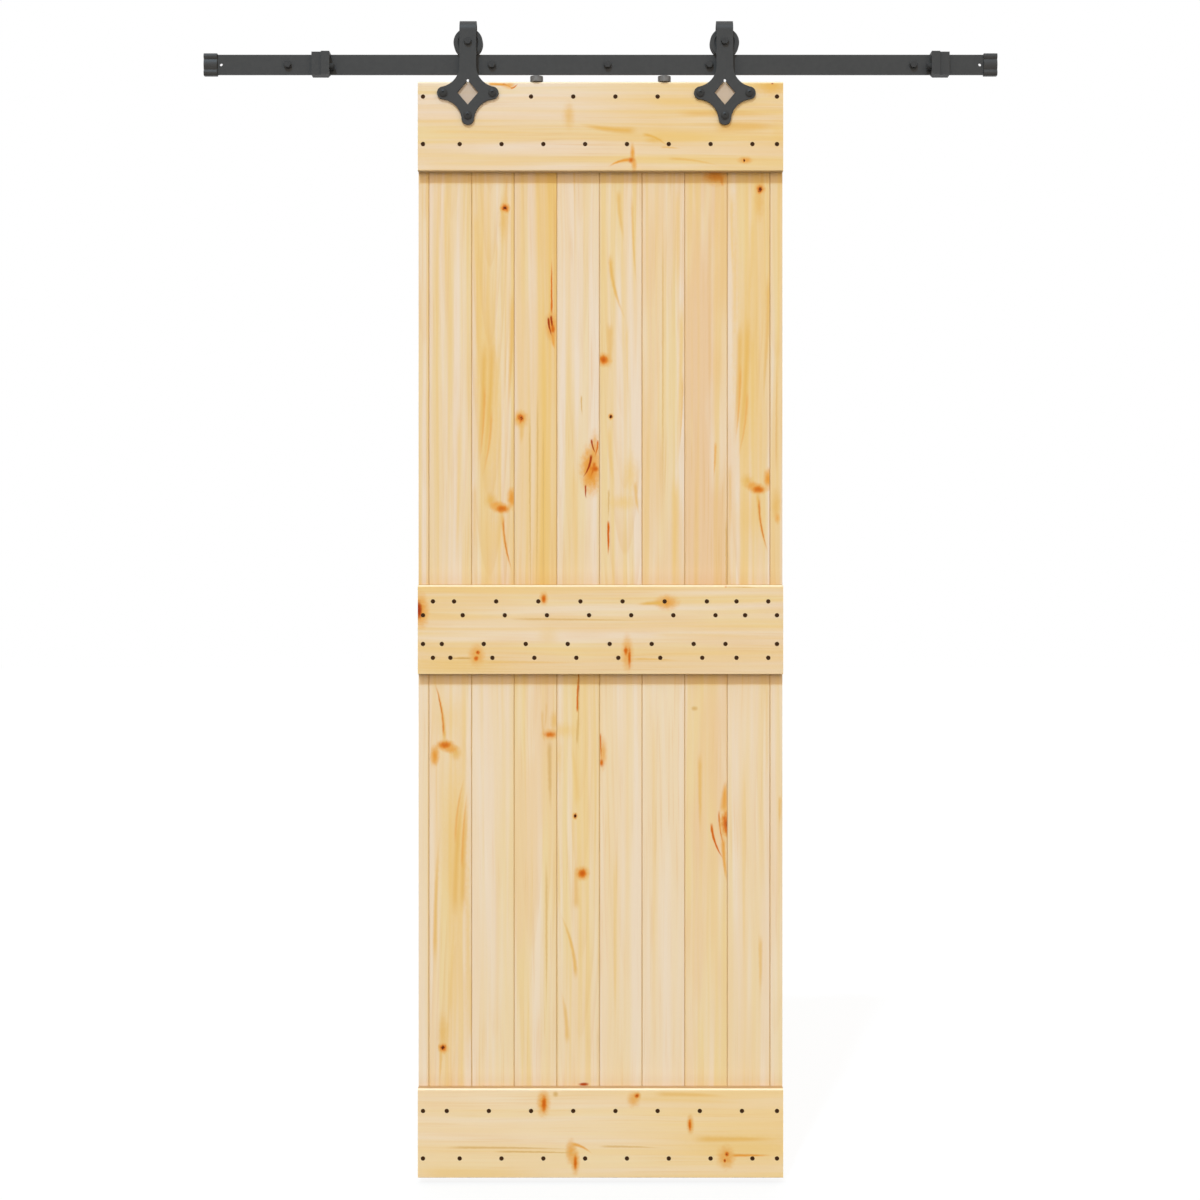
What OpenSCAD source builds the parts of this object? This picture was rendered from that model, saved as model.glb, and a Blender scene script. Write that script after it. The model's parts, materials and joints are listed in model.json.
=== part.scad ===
// Sliding barn door: a plank leaf with three battens, hung from a flat rail by two bent hangers.
// Millimetres. The wall is the plane y = 0, the front looks along -Y, and the middle of the rail
// is at x = 0 and z = 0.

/* [Planks] */
// Width that one full plank covers
plank_w = 82; // [74:1:100]
// Thickness of the planks
plank_t = 18; // [16:0.5:22]
// Length of one plank, half the height of the leaf
plank_l = 1050; // [900:5:1200]
// Number of full planks side by side
plank_n = 8; // [7:1:9]
// Width of the ripped strip along the left edge
left_strip_w = 20; // [16:1:40]
// Width of the ripped strip along the right edge
right_strip_w = 24; // [16:1:40]
// Thickness of a tongue
tongue_t = 6; // [4:0.5:7]
// How far a tongue stands out of its plank
tongue_l = 6; // [4:0.5:8]
// Play around a tongue in its groove
groove_play = 0.3; // [0.2:0.1:0.5]
// Chamfer along both sides of a seam
seam_chamfer = 1.2; // [0.5:0.1:2]

/* [Battens] */
// Height of a batten
batten_h = 171; // [160:1:200]
// Thickness of a batten
batten_t = 18; // [16:0.5:22]
// Radius of the eased upper front edges
batten_edge_r = 4.5; // [1:0.5:6]
// Radius of the lower front edges
batten_foot_r = 1; // [0.5:0.5:3]

/* [Wood screws] */
// Shank diameter
screw_d = 3.8; // [3:0.1:5]
// Diameter of the countersunk head
screw_head_d = 8.4; // [7:0.1:10]
// Height of the head's cone
screw_head_h = 3; // [2.5:0.1:4]
// How far a screw bites into the plank
screw_bite = 13; // [8:0.5:14]
// Play around a screw in its hole
screw_play = 0.1; // [0.05:0.05:0.3]
// Upper screw row below the top edge of the leaf
top_row_drop = 29; // [20:1:40]
// Lower screw row above the bottom edge of the leaf
bottom_row_rise = 37; // [25:1:45]
// Height between the two rows of the top and bottom battens
row_gap = 91; // [60:1:110]
// Outer rows of the middle batten, from its middle
middle_row_out = 54; // [42:1:65]
// Inner rows of the middle batten, from its middle
middle_row_in = 27.5; // [15:0.5:35]
// Sideways step between paired screws of the middle batten
pair_step = 16.5; // [10:0.5:22]

/* [Rail] */
// Length of the rail
rail_l = 1520; // [1400:5:2000]
// Height of the rail
rail_h = 38; // [34:1:50]
// Thickness of the rail
rail_t = 6; // [4:0.5:8]
// Standoff between the wall and the rail
spacer_l = 35; // [32:1:50]
// Outer diameter of a standoff
spacer_d = 20; // [16:1:22]
// Outer diameter of the wall bolts' threads
wall_bolt_d = 8; // [6:0.5:10]
// How much thinner their plain shanks are
wall_shank_relief = 0.8; // [0.4:0.1:1.2]
// Length of a wall bolt under its head
wall_bolt_l = 70; // [60:1:120]
// Height of the wall bolts' hexagon heads
wall_head_h = 5.5; // [4:0.5:7]
// Thickness of the washers under hexagon heads and nuts
washer_t = 1.6; // [1:0.1:2.5]
// Distance of the outer wall bolts from the rail's ends
outer_bolt_inset = 159; // [145:1:165]
// Distance of the inner wall bolts from the rail's middle
inner_bolt_x = 209; // [100:1:260]
// Place of the central wall bolt
centre_bolt_x = 13.5; // [-40:0.5:40]
// Diameter of the small hole near each rail end
end_hole_d = 6; // [4:0.5:8]
// Distance between an end cap and the edge of that hole
end_hole_gap = 4; // [2:0.5:10]

/* [End caps] */
// Length of an end cap along the rail
cap_l = 26; // [18:1:40]
// Wall of an end cap
cap_wall = 2; // [1.5:0.5:3]
// How far the ribs of an end cap bulge
cap_bulge = 2.4; // [0.8:0.2:3.2]
// Height of the middle rib
cap_mid_rib = 20; // [14:1:26]

/* [Stops] */
// Width of a stop along the rail
stop_w = 35; // [28:1:45]
// Width of the thick inner part of a stop
stop_face_w = 16; // [12:1:20]
// Wall of a stop above and below the rail
stop_wall = 3; // [2.5:0.5:4.5]
// How far the thin outer part stands in front of the rail
stop_front = 11; // [8:0.5:14]
// Depth of the lips behind the rail
stop_lip_t = 6; // [5:0.5:8]
// Height of those lips
stop_lip_h = 8; // [7:0.5:9]
// Chamfer on the lower inner corner
stop_chamfer = 5; // [2:0.5:7]
// Distance of the left stop from the rail's left end
left_stop_inset = 206; // [190:1:330]
// Distance of the right stop from the rail's right end
right_stop_inset = 91; // [50:1:95]
// Diameter of the rubber bumper
bumper_d = 12; // [8:0.5:14]
// How far the bumper stands out of its stop
bumper_l = 9; // [6:0.5:14]
// Height of the bumper's axis below the rail's middle
bumper_drop = 6; // [3:0.5:8]

/* [Hangers] */
// Distance of the left hanger from the leaf's left edge
left_hanger_inset = 96; // [80:1:150]
// Distance of the right hanger from the leaf's right edge
right_hanger_inset = 112; // [80:1:150]
// Width of the strap
strap_w = 32; // [28:1:38]
// Thickness of the strap
strap_t = 5; // [4:0.5:6]
// Inner distance between the two legs of the bend
strap_gap = 30; // [28:0.5:36]
// Room between the top of a wheel and the bend
crown_play = 9.5; // [7:0.5:15]
// Sideways reach from the plate's middle to an arm's bolt
arm_reach = 47; // [40:1:60]
// Reach from the plate's middle down to the centre of the lower tip
drop_reach = 49; // [42:1:60]
// Reach from the plate's middle down to the lower bolt
drop_bolt = 43; // [40:0.5:48]
// Radius of the rounded tips
tip_r = 12; // [10:0.5:15]
// Radius of the hollow flanks
flank_r = 41; // [34:1:50]
// Width of the diamond window
window_w = 40; // [24:1:46]
// Height of the diamond window
window_h = 47; // [24:1:54]
// Diameter of the round eye at the window's upper corner
window_eye_d = 5; // [3:0.5:8]
// Arm axis below the top edge of the leaf
plate_drop = 22.7; // [18:0.1:30]
// Gap between the rail and the leaf
leaf_gap = 16.3; // [13:0.1:22]
// Diameter of the bolts that hold the plate
door_bolt_d = 8; // [6:0.5:10]
// Diameter of their round heads
door_head_d = 16; // [14:0.5:18]
// Height of their round heads
door_head_h = 5; // [4:0.5:6]
// Height of the straight rim under the dome
door_rim_h = 1.5; // [0.5:0.5:2.5]
// Length of a sleeve nut in the leaf
sleeve_l = 15; // [12:0.5:20]
// Wall of a sleeve nut
sleeve_wall = 1; // [0.8:0.1:1.5]
// Diameter of a sleeve nut's flange
sleeve_flange_d = 18; // [15:0.5:22]
// Thickness of that flange
sleeve_flange_t = 2; // [1.5:0.5:3]
// Play around a bolt in its hole
bolt_play = 0.25; // [0.1:0.05:0.4]

/* [Wheels] */
// Diameter over a wheel's flanges
wheel_d = 56; // [52:1:64]
// Width of a wheel
wheel_w = 22; // [18:0.5:25]
// Depth of the groove that rides on the rail
groove_depth = 6.2; // [4.5:0.1:7]
// Play beside the rail at the bottom of the groove
groove_side_play = 0.6; // [0.4:0.1:1]
// How much each side of the groove opens outwards
groove_flare = 1; // [0.5:0.1:2]
// Depth of the recess in both faces of a wheel
wheel_recess = 2.5; // [1:0.5:4]
// Chamfer on the flanges
rim_chamfer = 1.2; // [0.5:0.1:2]
// Wall between the groove's floor and the recess
groove_floor_t = 2.5; // [2:0.5:4]
// Wall of the hub around the bearing
hub_wall = 3; // [2:0.5:4]
// Width of the shoulder that the bearing seats on
shoulder_w = 2; // [1:0.5:2.5]
// Diameter of an axle bolt
axle_d = 8; // [6:0.5:9]
// Outer diameter of a wheel's ball bearing
bearing_d = 22; // [20:0.5:25]
// Width of the ball bearing
bearing_w = 7; // [6:0.5:9]
// Ball diameter
ball_d = 3.9; // [3:0.1:4.2]
// Number of balls
ball_n = 7; // [5:1:8]

/* [Lift guards] */
// Diameter of the discs that stop the leaf from lifting off
disc_d = 25; // [18:1:28]
// Room between a disc and the rail, less than the groove's depth
disc_play = 5.5; // [3:0.5:5.5]
// Distance of the discs from the leaf's middle
disc_x = 122.5; // [90:0.5:140]
// How far a disc stands over the front of the leaf
disc_overhang = 4.5; // [0:0.5:6]
// Length of a disc's screw below the disc
disc_screw_bite = 32; // [20:1:45]

/* [Hidden] */
$fn = 64;
arc_steps = 8;
pine = "burlywood";
coated = "dimgray";
blackened = "#2b2a29";
steel = "silver";
rubber = "#1c1c1c";

// Running and seating clearances
roll_gap = 0.3;
seat_play = 0.1;
rail_play = 0.2;
track_play = 0.15;
cut = 1;
eps = 0.01;

// Depths, from the wall to the front
rail_back = -spacer_l;
rail_front = rail_back - rail_t;
rail_mid = rail_back - rail_t / 2;
leaf_front = rail_mid - strap_gap / 2;
strap_front = leaf_front - strap_t;
rear_leg = rail_mid + strap_gap / 2;
rear_leg_back = rear_leg + strap_t;
plank_front = leaf_front + batten_t;
plank_back = plank_front + plank_t;

// Heights
rail_top = rail_h / 2;
leaf_top = -rail_h / 2 - leaf_gap;
leaf_mid = leaf_top - plank_l;
leaf_bottom = leaf_mid - plank_l;
plate_z = leaf_top - plate_drop;
wheel_r = wheel_d / 2;
groove_r = wheel_r - groove_depth;
axle_z = rail_top + groove_r + roll_gap;
bend_z = axle_z + wheel_r + crown_play - strap_gap / 2;

// Places along the leaf
leaf_w = left_strip_w + plank_n * plank_w + right_strip_w;
leaf_left = -leaf_w / 2;
leaf_right = leaf_w / 2;
first_seam = leaf_left + left_strip_w;
last_seam = leaf_right - right_strip_w;
left_strip_mid = leaf_left + left_strip_w / 2;
right_strip_mid = leaf_right - right_strip_w / 2;
hanger_x = [leaf_left + left_hanger_inset, leaf_right - right_hanger_inset];
plate_reach = arm_reach + tip_r;

// Places along the rail
rail_left = -rail_l / 2;
rail_right = rail_l / 2;
wall_bolt_x = [rail_left + outer_bolt_inset, -inner_bolt_x, centre_bolt_x, inner_bolt_x,
    rail_right - outer_bolt_inset];
end_hole_x = rail_right - cap_l + cap_wall - end_hole_gap - end_hole_d / 2;
left_stop_x = rail_left + left_stop_inset + stop_w;
right_stop_x = rail_right - right_stop_inset - stop_w;

// Screw rows: lead is the distance of a row's first screw from the first seam, and drift is how
// much its pitch falls short of the planks' pitch
upper_lead = 35.4;
upper_drift = 1.2;
lower_lead = 60.3;
lower_drift = 1.9;
pair_high_lead = 49.5;
pair_high_drift = 1.3;
pair_low_lead = 26;
pair_low_drift = 1.6;
seam_inset = 4.6;
strip_step = 9;
head_land = 0.3;
screw_tip_h = 5;
screw_tip_d = 1;

function row(lead, drift, n) = [for (k = [0 : n - 1]) first_seam + lead + k * (plank_w - drift)];
function shifted(xs, dx) = [for (x = xs) x + dx];
function at_height(xs, z) = [for (x = xs) [x, z]];
function clear_of_plates(xs) =
    [for (x = xs) if (min([for (h = hanger_x) abs(x - h)]) > plate_reach) x];
function with_strips(xs) = concat([left_strip_mid], xs, [right_strip_mid]);

last_full = last_seam - plank_w;
upper_row = with_strips(row(upper_lead, upper_drift, plank_n));
lower_row = with_strips(row(lower_lead, lower_drift, plank_n));
pair_high = row(pair_high_lead, pair_high_drift, plank_n - 1);
pair_low = row(pair_low_lead, pair_low_drift, plank_n - 1);

top_screws = concat(
    at_height(clear_of_plates(upper_row), leaf_top - top_row_drop),
    at_height(lower_row, leaf_top - top_row_drop - row_gap));
bottom_screws = concat(
    at_height(upper_row, leaf_bottom + bottom_row_rise + row_gap),
    at_height(lower_row, leaf_bottom + bottom_row_rise));
middle_high_screws = concat(
    at_height(concat([first_seam + strip_step], pair_high,
        [last_full + pair_step, last_seam - seam_inset]), leaf_mid + middle_row_out),
    at_height(with_strips(concat(shifted(pair_high, pair_step), [last_full + 2 * pair_step])),
        leaf_mid + middle_row_in));
middle_low_screws = concat(
    at_height(with_strips(concat(pair_low, [last_full - seam_inset])), leaf_mid - middle_row_in),
    at_height(concat([first_seam + strip_step], shifted(pair_low, pair_step),
        [last_full + pair_step, last_seam - seam_inset]), leaf_mid - middle_row_out));
plate_bolts = [for (h = hanger_x) each [[h - arm_reach, plate_z], [h + arm_reach, plate_z],
    [h, plate_z - drop_bolt]]];

// Fasteners
hex_ratio = 1.6;
washer_ratio = 2.05;
wall_af = hex_ratio * wall_bolt_d;
wall_washer_d = washer_ratio * wall_bolt_d;
wall_tip_h = wall_bolt_d;
axle_af = hex_ratio * axle_d;
axle_washer_d = washer_ratio * axle_d;
axle_head_h = 5.3;
axle_nut_h = 6.5;
axle_end = 1.5;
sleeve_d = door_bolt_d + 2 * (seat_play + sleeve_wall);
door_socket_af = 0.6 * door_bolt_d;
door_bolt_end = 4;
door_dome_h = door_head_h - door_rim_h;
door_dome_r = (door_head_d * door_head_d / 4 + door_dome_h * door_dome_h) / (2 * door_dome_h);
sleeve_socket_floor = 1;
disc_y = leaf_front - disc_overhang + disc_d / 2;
disc_h = leaf_gap - disc_play;
disc_screw_d = 4.5;

// Wheel and bearing radii
groove_half = rail_t / 2 + groove_side_play;
seat_r = bearing_d / 2 + eps;
shoulder_r = bearing_d / 2 - shoulder_w;
hub_r = bearing_d / 2 + hub_wall;
rim_r = groove_r - groove_floor_t;
pitch_r = (bearing_d / 2 + axle_d / 2) / 2;
race_half = 1.4;
axle_sleeve_wall = 1.8;

// Hanger plate: flank centres touch the tips from outside
touch = flank_r + tip_r;
neck_x = strap_w / 2 + flank_r;
neck_z = sqrt(touch * touch - (neck_x - arm_reach) * (neck_x - arm_reach));
chord = norm([arm_reach, drop_reach]);
flank_out = sqrt(touch * touch - chord * chord / 4);
low_x = arm_reach / 2 + flank_out * drop_reach / chord;
low_z = -drop_reach / 2 - flank_out * arm_reach / chord;
window_rise = 0.8;

// Stops
stop_pocket_h = rail_h + 2 * rail_play;
stop_h = stop_pocket_h + 2 * stop_wall;
bumper_stem_d = bumper_d / 2;
bumper_stem_l = stop_face_w / 2;
bumper_round = bumper_l / 4;
bumper_edge = 1;
bumper_y = strap_front + bumper_edge + bumper_d / 2;
grub_d = 5;
grub_af = 2.5;
grub_z = rail_h / 2 - stop_lip_h / 2;

PLANK_NAMES = concat(["left_strip"], [for (k = [1 : plank_n]) str("plank_", k)], ["right_strip"]);

// Shared shapes
module at(x, z) translate([x, 0, z]) children();
module rod_y(d, y0, y1) translate([0, y0, 0]) rotate([-90, 0, 0]) cylinder(d = d, h = y1 - y0);
module hex_y(af, y0, y1)
    translate([0, y0, 0]) rotate([-90, 0, 0]) cylinder(d = af / cos(30), h = y1 - y0, $fn = 6);
module tube_y(d, bore, y0, y1) difference() {
    rod_y(d, y0, y1);
    rod_y(bore, y0 - cut, y1 + cut);
}
module turned_y() rotate([-90, 0, 0]) rotate_extrude() children();
module along_x(x0, x1)
    translate([x0, 0, 0]) rotate([90, 0, 90]) linear_extrude(height = x1 - x0) children();
module along_front(y_back, t)
    translate([0, y_back, 0]) rotate([90, 0, 0]) linear_extrude(height = t) children();
function turn(c, r, a) = c + r * [cos(a), sin(a)];
function arc(c, r, a0, a1) = [for (i = [0 : arc_steps]) turn(c, r, a0 + (a1 - a0) * i / arc_steps)];

// A countersunk wood screw, or its hole where there is play, driven along +Z from a surface at z = 0
module wood_screw(d, head_d, l, play) {
    r = d / 2 + play;
    head_r = head_d / 2 + play;
    top = play > 0 ? -cut : 0;
    tip = play > 0 ? [[r, l]] : [[r, l - screw_tip_h], [screw_tip_d / 2, l]];
    rotate_extrude() polygon(concat([[0, top], [head_r, top], [head_r, head_land], [r, screw_head_h]],
        tip, [[0, l]]));
}
module leaf_screw(p, play) translate([p[0], leaf_front, p[1]]) rotate([-90, 0, 0])
    wood_screw(screw_d, screw_head_d, batten_t + screw_bite, play);
module leaf_screws(points) color(blackened) for (p = points) leaf_screw(p, 0);
module screw_holes(points, x0, x1)
    for (p = points) if (p[0] > x0 - screw_d && p[0] < x1 + screw_d) leaf_screw(p, screw_play);

// A hole through the leaf for a plate bolt and its sleeve nut
module plate_bolt_holes(x0, x1)
    for (p = plate_bolts) if (p[0] > x0 - sleeve_d && p[0] < x1 + sleeve_d) at(p[0], p[1]) {
        rod_y(door_bolt_d + 2 * bolt_play, leaf_front - cut, plank_back);
        rod_y(sleeve_d + 2 * seat_play, plank_back - sleeve_l, plank_back + cut);
    }

// Rail and its wall fixings
module rail() color(coated) difference() {
    translate([rail_left, rail_front, -rail_h / 2]) cube([rail_l, rail_t, rail_h]);
    for (x = wall_bolt_x) at(x, 0) rod_y(wall_bolt_d + 2 * bolt_play, rail_front - cut, rail_back + cut);
    for (s = [-1, 1]) at(s * end_hole_x, 0) rod_y(end_hole_d, rail_front - cut, rail_back + cut);
}
module rail_spacers() color(coated)
    for (x = wall_bolt_x) at(x, 0) tube_y(spacer_d, wall_bolt_d + 2 * bolt_play, rail_back, 0);
module rail_washers() color(coated) for (x = wall_bolt_x) at(x, 0)
    tube_y(wall_washer_d, wall_bolt_d + 2 * bolt_play, rail_front - washer_t, rail_front);
module lag_bolt() {
    seat = rail_front - washer_t;
    hex_y(wall_af, seat - wall_head_h, seat);
    rod_y(wall_bolt_d - wall_shank_relief, seat - eps, eps);
    rod_y(wall_bolt_d, 0, seat + wall_bolt_l - wall_tip_h);
    translate([0, seat + wall_bolt_l - wall_tip_h, 0]) rotate([-90, 0, 0])
        cylinder(d1 = wall_bolt_d, d2 = screw_tip_d, h = wall_tip_h);
}
module rail_lag_bolts() color(blackened) for (x = wall_bolt_x) at(x, 0) lag_bolt();

// End caps: a ribbed sleeve with a closed end, drawn for the right end
cap_half_t = rail_t / 2 + rail_play + cap_wall;
cap_half_h = rail_h / 2 + rail_play + cap_wall;
module rib(z0, z1) {
    half = (z1 - z0) / 2;
    r = (half * half + cap_bulge * cap_bulge) / (2 * cap_bulge);
    intersection() {
        translate([cap_half_t + cap_bulge - r, z0 + half]) circle(r);
        translate([cap_half_t - cut, z0]) square([cap_bulge + 2 * cut, z1 - z0]);
    }
}
module cap_section() {
    square([2 * cap_half_t, 2 * cap_half_h], center = true);
    for (side = [0, 1]) mirror([side, 0]) {
        rib(-cap_half_h, -cap_mid_rib / 2);
        rib(-cap_mid_rib / 2, cap_mid_rib / 2);
        rib(cap_mid_rib / 2, cap_half_h);
    }
}
module end_cap() color(coated) translate([0, rail_mid, 0]) difference() {
    along_x(rail_right + cap_wall - cap_l, rail_right + cap_wall) cap_section();
    translate([0, -rail_t / 2 - rail_play, -rail_h / 2 - rail_play])
        cube([rail_right, rail_t + 2 * rail_play, rail_h + 2 * rail_play]);
}

// Stops: a clip round the rail, drawn for the left one with its inner face at x = 0
module stop_outline() polygon([[-stop_face_w, -stop_h / 2], [-stop_chamfer, -stop_h / 2],
    [0, -stop_h / 2 + stop_chamfer], [0, stop_h / 2], [-stop_face_w, stop_h / 2]]);
module stop_block() color(coated) difference() {
    union() {
        along_front(rail_back + stop_lip_t, rail_back + stop_lip_t - strap_front) stop_outline();
        translate([-stop_w, rail_front - stop_front, -stop_h / 2])
            cube([stop_w - stop_face_w, stop_front + rail_t + stop_lip_t, stop_h]);
    }
    translate([-stop_w - cut, rail_front - rail_play, -stop_pocket_h / 2])
        cube([stop_w + 2 * cut, rail_t + rail_play, stop_pocket_h]);
    translate([-stop_w - cut, rail_front, -rail_h / 2 + stop_lip_h])
        cube([stop_w + 2 * cut, rail_t + stop_lip_t + cut, rail_h - 2 * stop_lip_h]);
    bumper_stem(bumper_stem_d + 2 * seat_play, bumper_stem_l, cut);
    for (z = [-grub_z, grub_z]) at(-stop_w / 2, z)
        rod_y(grub_d + 2 * seat_play, rail_front + cut, rail_back + stop_lip_t + cut);
}
module bumper_stem(d, l, over)
    translate([-l, bumper_y, -bumper_drop]) rotate([0, 90, 0]) cylinder(d = d, h = l + over);
module stop_bumper() color(rubber) {
    bumper_stem(bumper_stem_d, bumper_stem_l, eps);
    translate([0, bumper_y, -bumper_drop]) rotate([0, 90, 0]) rotate_extrude()
        polygon(concat([[0, 0], [bumper_d / 2, 0]],
            arc([bumper_d / 2 - bumper_round, bumper_l - bumper_round], bumper_round, 0, 90),
            [[0, bumper_l]]));
}
module stop_grub_screws() color(blackened)
    for (x = [left_stop_x - stop_w / 2, right_stop_x + stop_w / 2], z = [-grub_z, grub_z]) at(x, z)
        difference() {
            rod_y(grub_d, rail_back, rail_back + stop_lip_t);
            hex_y(grub_af, rail_back + stop_lip_t / 2, rail_back + stop_lip_t + cut);
        }

// Planks: tongue on the right, groove on the left, with chamfered seams
module seam_cut(x, y) translate([x, y]) rotate(45) square(seam_chamfer * sqrt(2), center = true);
module plank_section(w, groove, tongue) difference() {
    union() {
        square([w, plank_t]);
        if (tongue) translate([w - cut, (plank_t - tongue_t) / 2]) square([tongue_l + cut, tongue_t]);
    }
    if (groove) translate([-cut, (plank_t - tongue_t) / 2 - groove_play])
        square([cut + tongue_l + groove_play, tongue_t + 2 * groove_play]);
    for (y = [0, plank_t]) {
        if (groove) seam_cut(0, y);
        if (tongue) seam_cut(w, y);
    }
}
function plank_x(i) = i == 0 ? leaf_left : first_seam + (i - 1) * plank_w;
function plank_width(i) = i == 0 ? left_strip_w : i > plank_n ? right_strip_w : plank_w;
module plank(i, z, points) {
    x0 = plank_x(i);
    x1 = x0 + plank_width(i);
    color(pine) difference() {
        translate([x0, plank_front, z]) linear_extrude(height = plank_l)
            plank_section(plank_width(i), i > 0, i <= plank_n);
        screw_holes(points, x0, x1 + tongue_l);
        plate_bolt_holes(x0, x1 + tongue_l);
    }
}
module upper_plank(i) plank(i, leaf_mid, concat(top_screws, middle_high_screws));
module lower_plank(i) plank(i, leaf_bottom, concat(bottom_screws, middle_low_screws));

// Battens
module batten(z, points) color(pine) difference() {
    along_x(leaf_left, leaf_right) polygon(concat([[plank_front, z], [plank_front, z + batten_h]],
        arc([leaf_front + batten_edge_r, z + batten_h - batten_edge_r], batten_edge_r, 90, 180),
        arc([leaf_front + batten_foot_r, z + batten_foot_r], batten_foot_r, 180, 270)));
    screw_holes(points, leaf_left, leaf_right);
}
module top_batten() difference() {
    batten(leaf_top - batten_h, top_screws);
    plate_bolt_holes(leaf_left, leaf_right);
    for (s = [-1, 1]) lift_disc_screw(s, screw_play);
}
module middle_batten()
    batten(leaf_mid - batten_h / 2, concat(middle_high_screws, middle_low_screws));
module bottom_batten() batten(leaf_bottom, bottom_screws);

// Hangers: a star plate and strap, bent over the wheel to a short rear leg
module plate_outline() difference() {
    union() {
        polygon([[-arm_reach, 0], [-low_x, low_z], [0, -drop_reach], [low_x, low_z], [arm_reach, 0],
            [neck_x, neck_z], [-neck_x, neck_z]]);
        translate([-arm_reach, 0]) circle(tip_r);
        translate([arm_reach, 0]) circle(tip_r);
        translate([0, -drop_reach]) circle(tip_r);
    }
    for (s = [-1, 1]) {
        translate([s * low_x, low_z]) circle(flank_r);
        translate([s * neck_x, neck_z]) circle(flank_r);
    }
    polygon([[-window_w / 2, window_rise], [0, window_rise - window_h / 2],
        [window_w / 2, window_rise], [0, window_rise + window_h / 2]]);
    translate([0, window_rise + window_h / 2]) circle(d = window_eye_d);
}
module strap_section() {
    front_l = bend_z - plate_z - neck_z;
    rear_l = bend_z - axle_z;
    difference() {
        union() {
            circle(strap_gap / 2 + strap_t);
            translate([-strap_gap / 2 - strap_t, -front_l]) square([strap_gap + 2 * strap_t, front_l]);
        }
        circle(strap_gap / 2);
        translate([-strap_gap / 2, -front_l - cut]) square([strap_gap, front_l + cut]);
        translate([0, -front_l - cut]) square([strap_gap, front_l + cut - rear_l]);
    }
}
module hanger_strap(x) color(coated) translate([x, 0, 0]) difference() {
    union() {
        at(0, plate_z) along_front(leaf_front, strap_t) plate_outline();
        translate([0, rail_mid, bend_z]) along_x(-strap_w / 2, strap_w / 2) strap_section();
        at(0, axle_z) rod_y(strap_w, rear_leg, rear_leg_back);
    }
    at(0, axle_z) rod_y(axle_d + 2 * bolt_play, strap_front - cut, rear_leg_back + cut);
    for (p = [[-arm_reach, 0], [arm_reach, 0], [0, -drop_bolt]]) at(p[0], plate_z + p[1])
        rod_y(door_bolt_d + 2 * bolt_play, strap_front - cut, leaf_front + cut);
}
module plate_bolt() difference() {
    union() {
        translate([0, strap_front, 0]) rotate([90, 0, 0]) rotate_extrude() intersection() {
            translate([0, door_head_h - door_dome_r]) circle(door_dome_r);
            square([door_head_d / 2, door_head_h]);
        }
        rod_y(door_bolt_d, strap_front - eps, plank_back - door_bolt_end);
    }
    hex_y(door_socket_af, strap_front - door_head_h - cut, strap_front - door_head_h / 2);
}
module hanger_door_bolts() color(blackened) for (p = plate_bolts) at(p[0], p[1]) plate_bolt();
module hanger_sleeve_nuts() color(steel) for (p = plate_bolts) at(p[0], p[1]) difference() {
    union() {
        rod_y(sleeve_d, plank_back - sleeve_l, plank_back + eps);
        rod_y(sleeve_flange_d, plank_back, plank_back + sleeve_flange_t);
    }
    rod_y(door_bolt_d + 2 * seat_play, plank_back - sleeve_l - cut,
        plank_back - door_bolt_end + seat_play);
    hex_y(door_socket_af, plank_back - sleeve_socket_floor, plank_back + sleeve_flange_t + cut);
}

// Axles
module axle_bolt() {
    hex_y(axle_af, strap_front - axle_head_h, strap_front);
    rod_y(axle_d, strap_front - eps, rear_leg_back + washer_t + axle_nut_h + axle_end);
}
module axle_bolts() color(blackened) for (x = hanger_x) at(x, axle_z) axle_bolt();
module axle_washers() color(steel) for (x = hanger_x) at(x, axle_z)
    tube_y(axle_washer_d, axle_d + 2 * bolt_play, rear_leg_back, rear_leg_back + washer_t);
module axle_nuts() color(blackened) for (x = hanger_x) at(x, axle_z) difference() {
    hex_y(axle_af, rear_leg_back + washer_t, rear_leg_back + washer_t + axle_nut_h);
    rod_y(axle_d + 2 * seat_play, rear_leg_back, rear_leg_back + washer_t + axle_nut_h + cut);
}
module axle_sleeves() color(steel) for (x = hanger_x) at(x, axle_z) {
    tube_y(axle_d + 2 * (seat_play + axle_sleeve_wall), axle_d + 2 * seat_play,
        leaf_front, rail_mid - bearing_w / 2);
    tube_y(axle_d + 2 * (seat_play + axle_sleeve_wall), axle_d + 2 * seat_play,
        rail_mid + bearing_w / 2, rear_leg);
}

// Wheels and ball bearings
module wheel(x) color(coated) translate([x, rail_mid, axle_z]) turned_y() polygon(concat(
    [[seat_r, -wheel_w / 2], [hub_r, -wheel_w / 2], [hub_r, -wheel_w / 2 + wheel_recess],
        [rim_r, -wheel_w / 2 + wheel_recess], [rim_r, -wheel_w / 2],
        [wheel_r - rim_chamfer, -wheel_w / 2], [wheel_r, -wheel_w / 2 + rim_chamfer],
        [wheel_r, -groove_half - groove_flare], [groove_r, -groove_half]],
    [[groove_r, groove_half], [wheel_r, groove_half + groove_flare],
        [wheel_r, wheel_w / 2 - rim_chamfer], [wheel_r - rim_chamfer, wheel_w / 2],
        [rim_r, wheel_w / 2], [rim_r, wheel_w / 2 - wheel_recess],
        [hub_r, wheel_w / 2 - wheel_recess], [hub_r, wheel_w / 2], [shoulder_r, wheel_w / 2],
        [shoulder_r, bearing_w / 2], [seat_r, bearing_w / 2]]));
module bearing_ring(r0, r1) turned_y() difference() {
    translate([r0, -bearing_w / 2]) square([r1 - r0, bearing_w]);
    translate([pitch_r, 0]) circle(d = ball_d + 2 * track_play);
}
module bearing_inner_ring(x) color(steel) translate([x, rail_mid, axle_z])
    bearing_ring(axle_d / 2 + seat_play, pitch_r - race_half);
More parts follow.
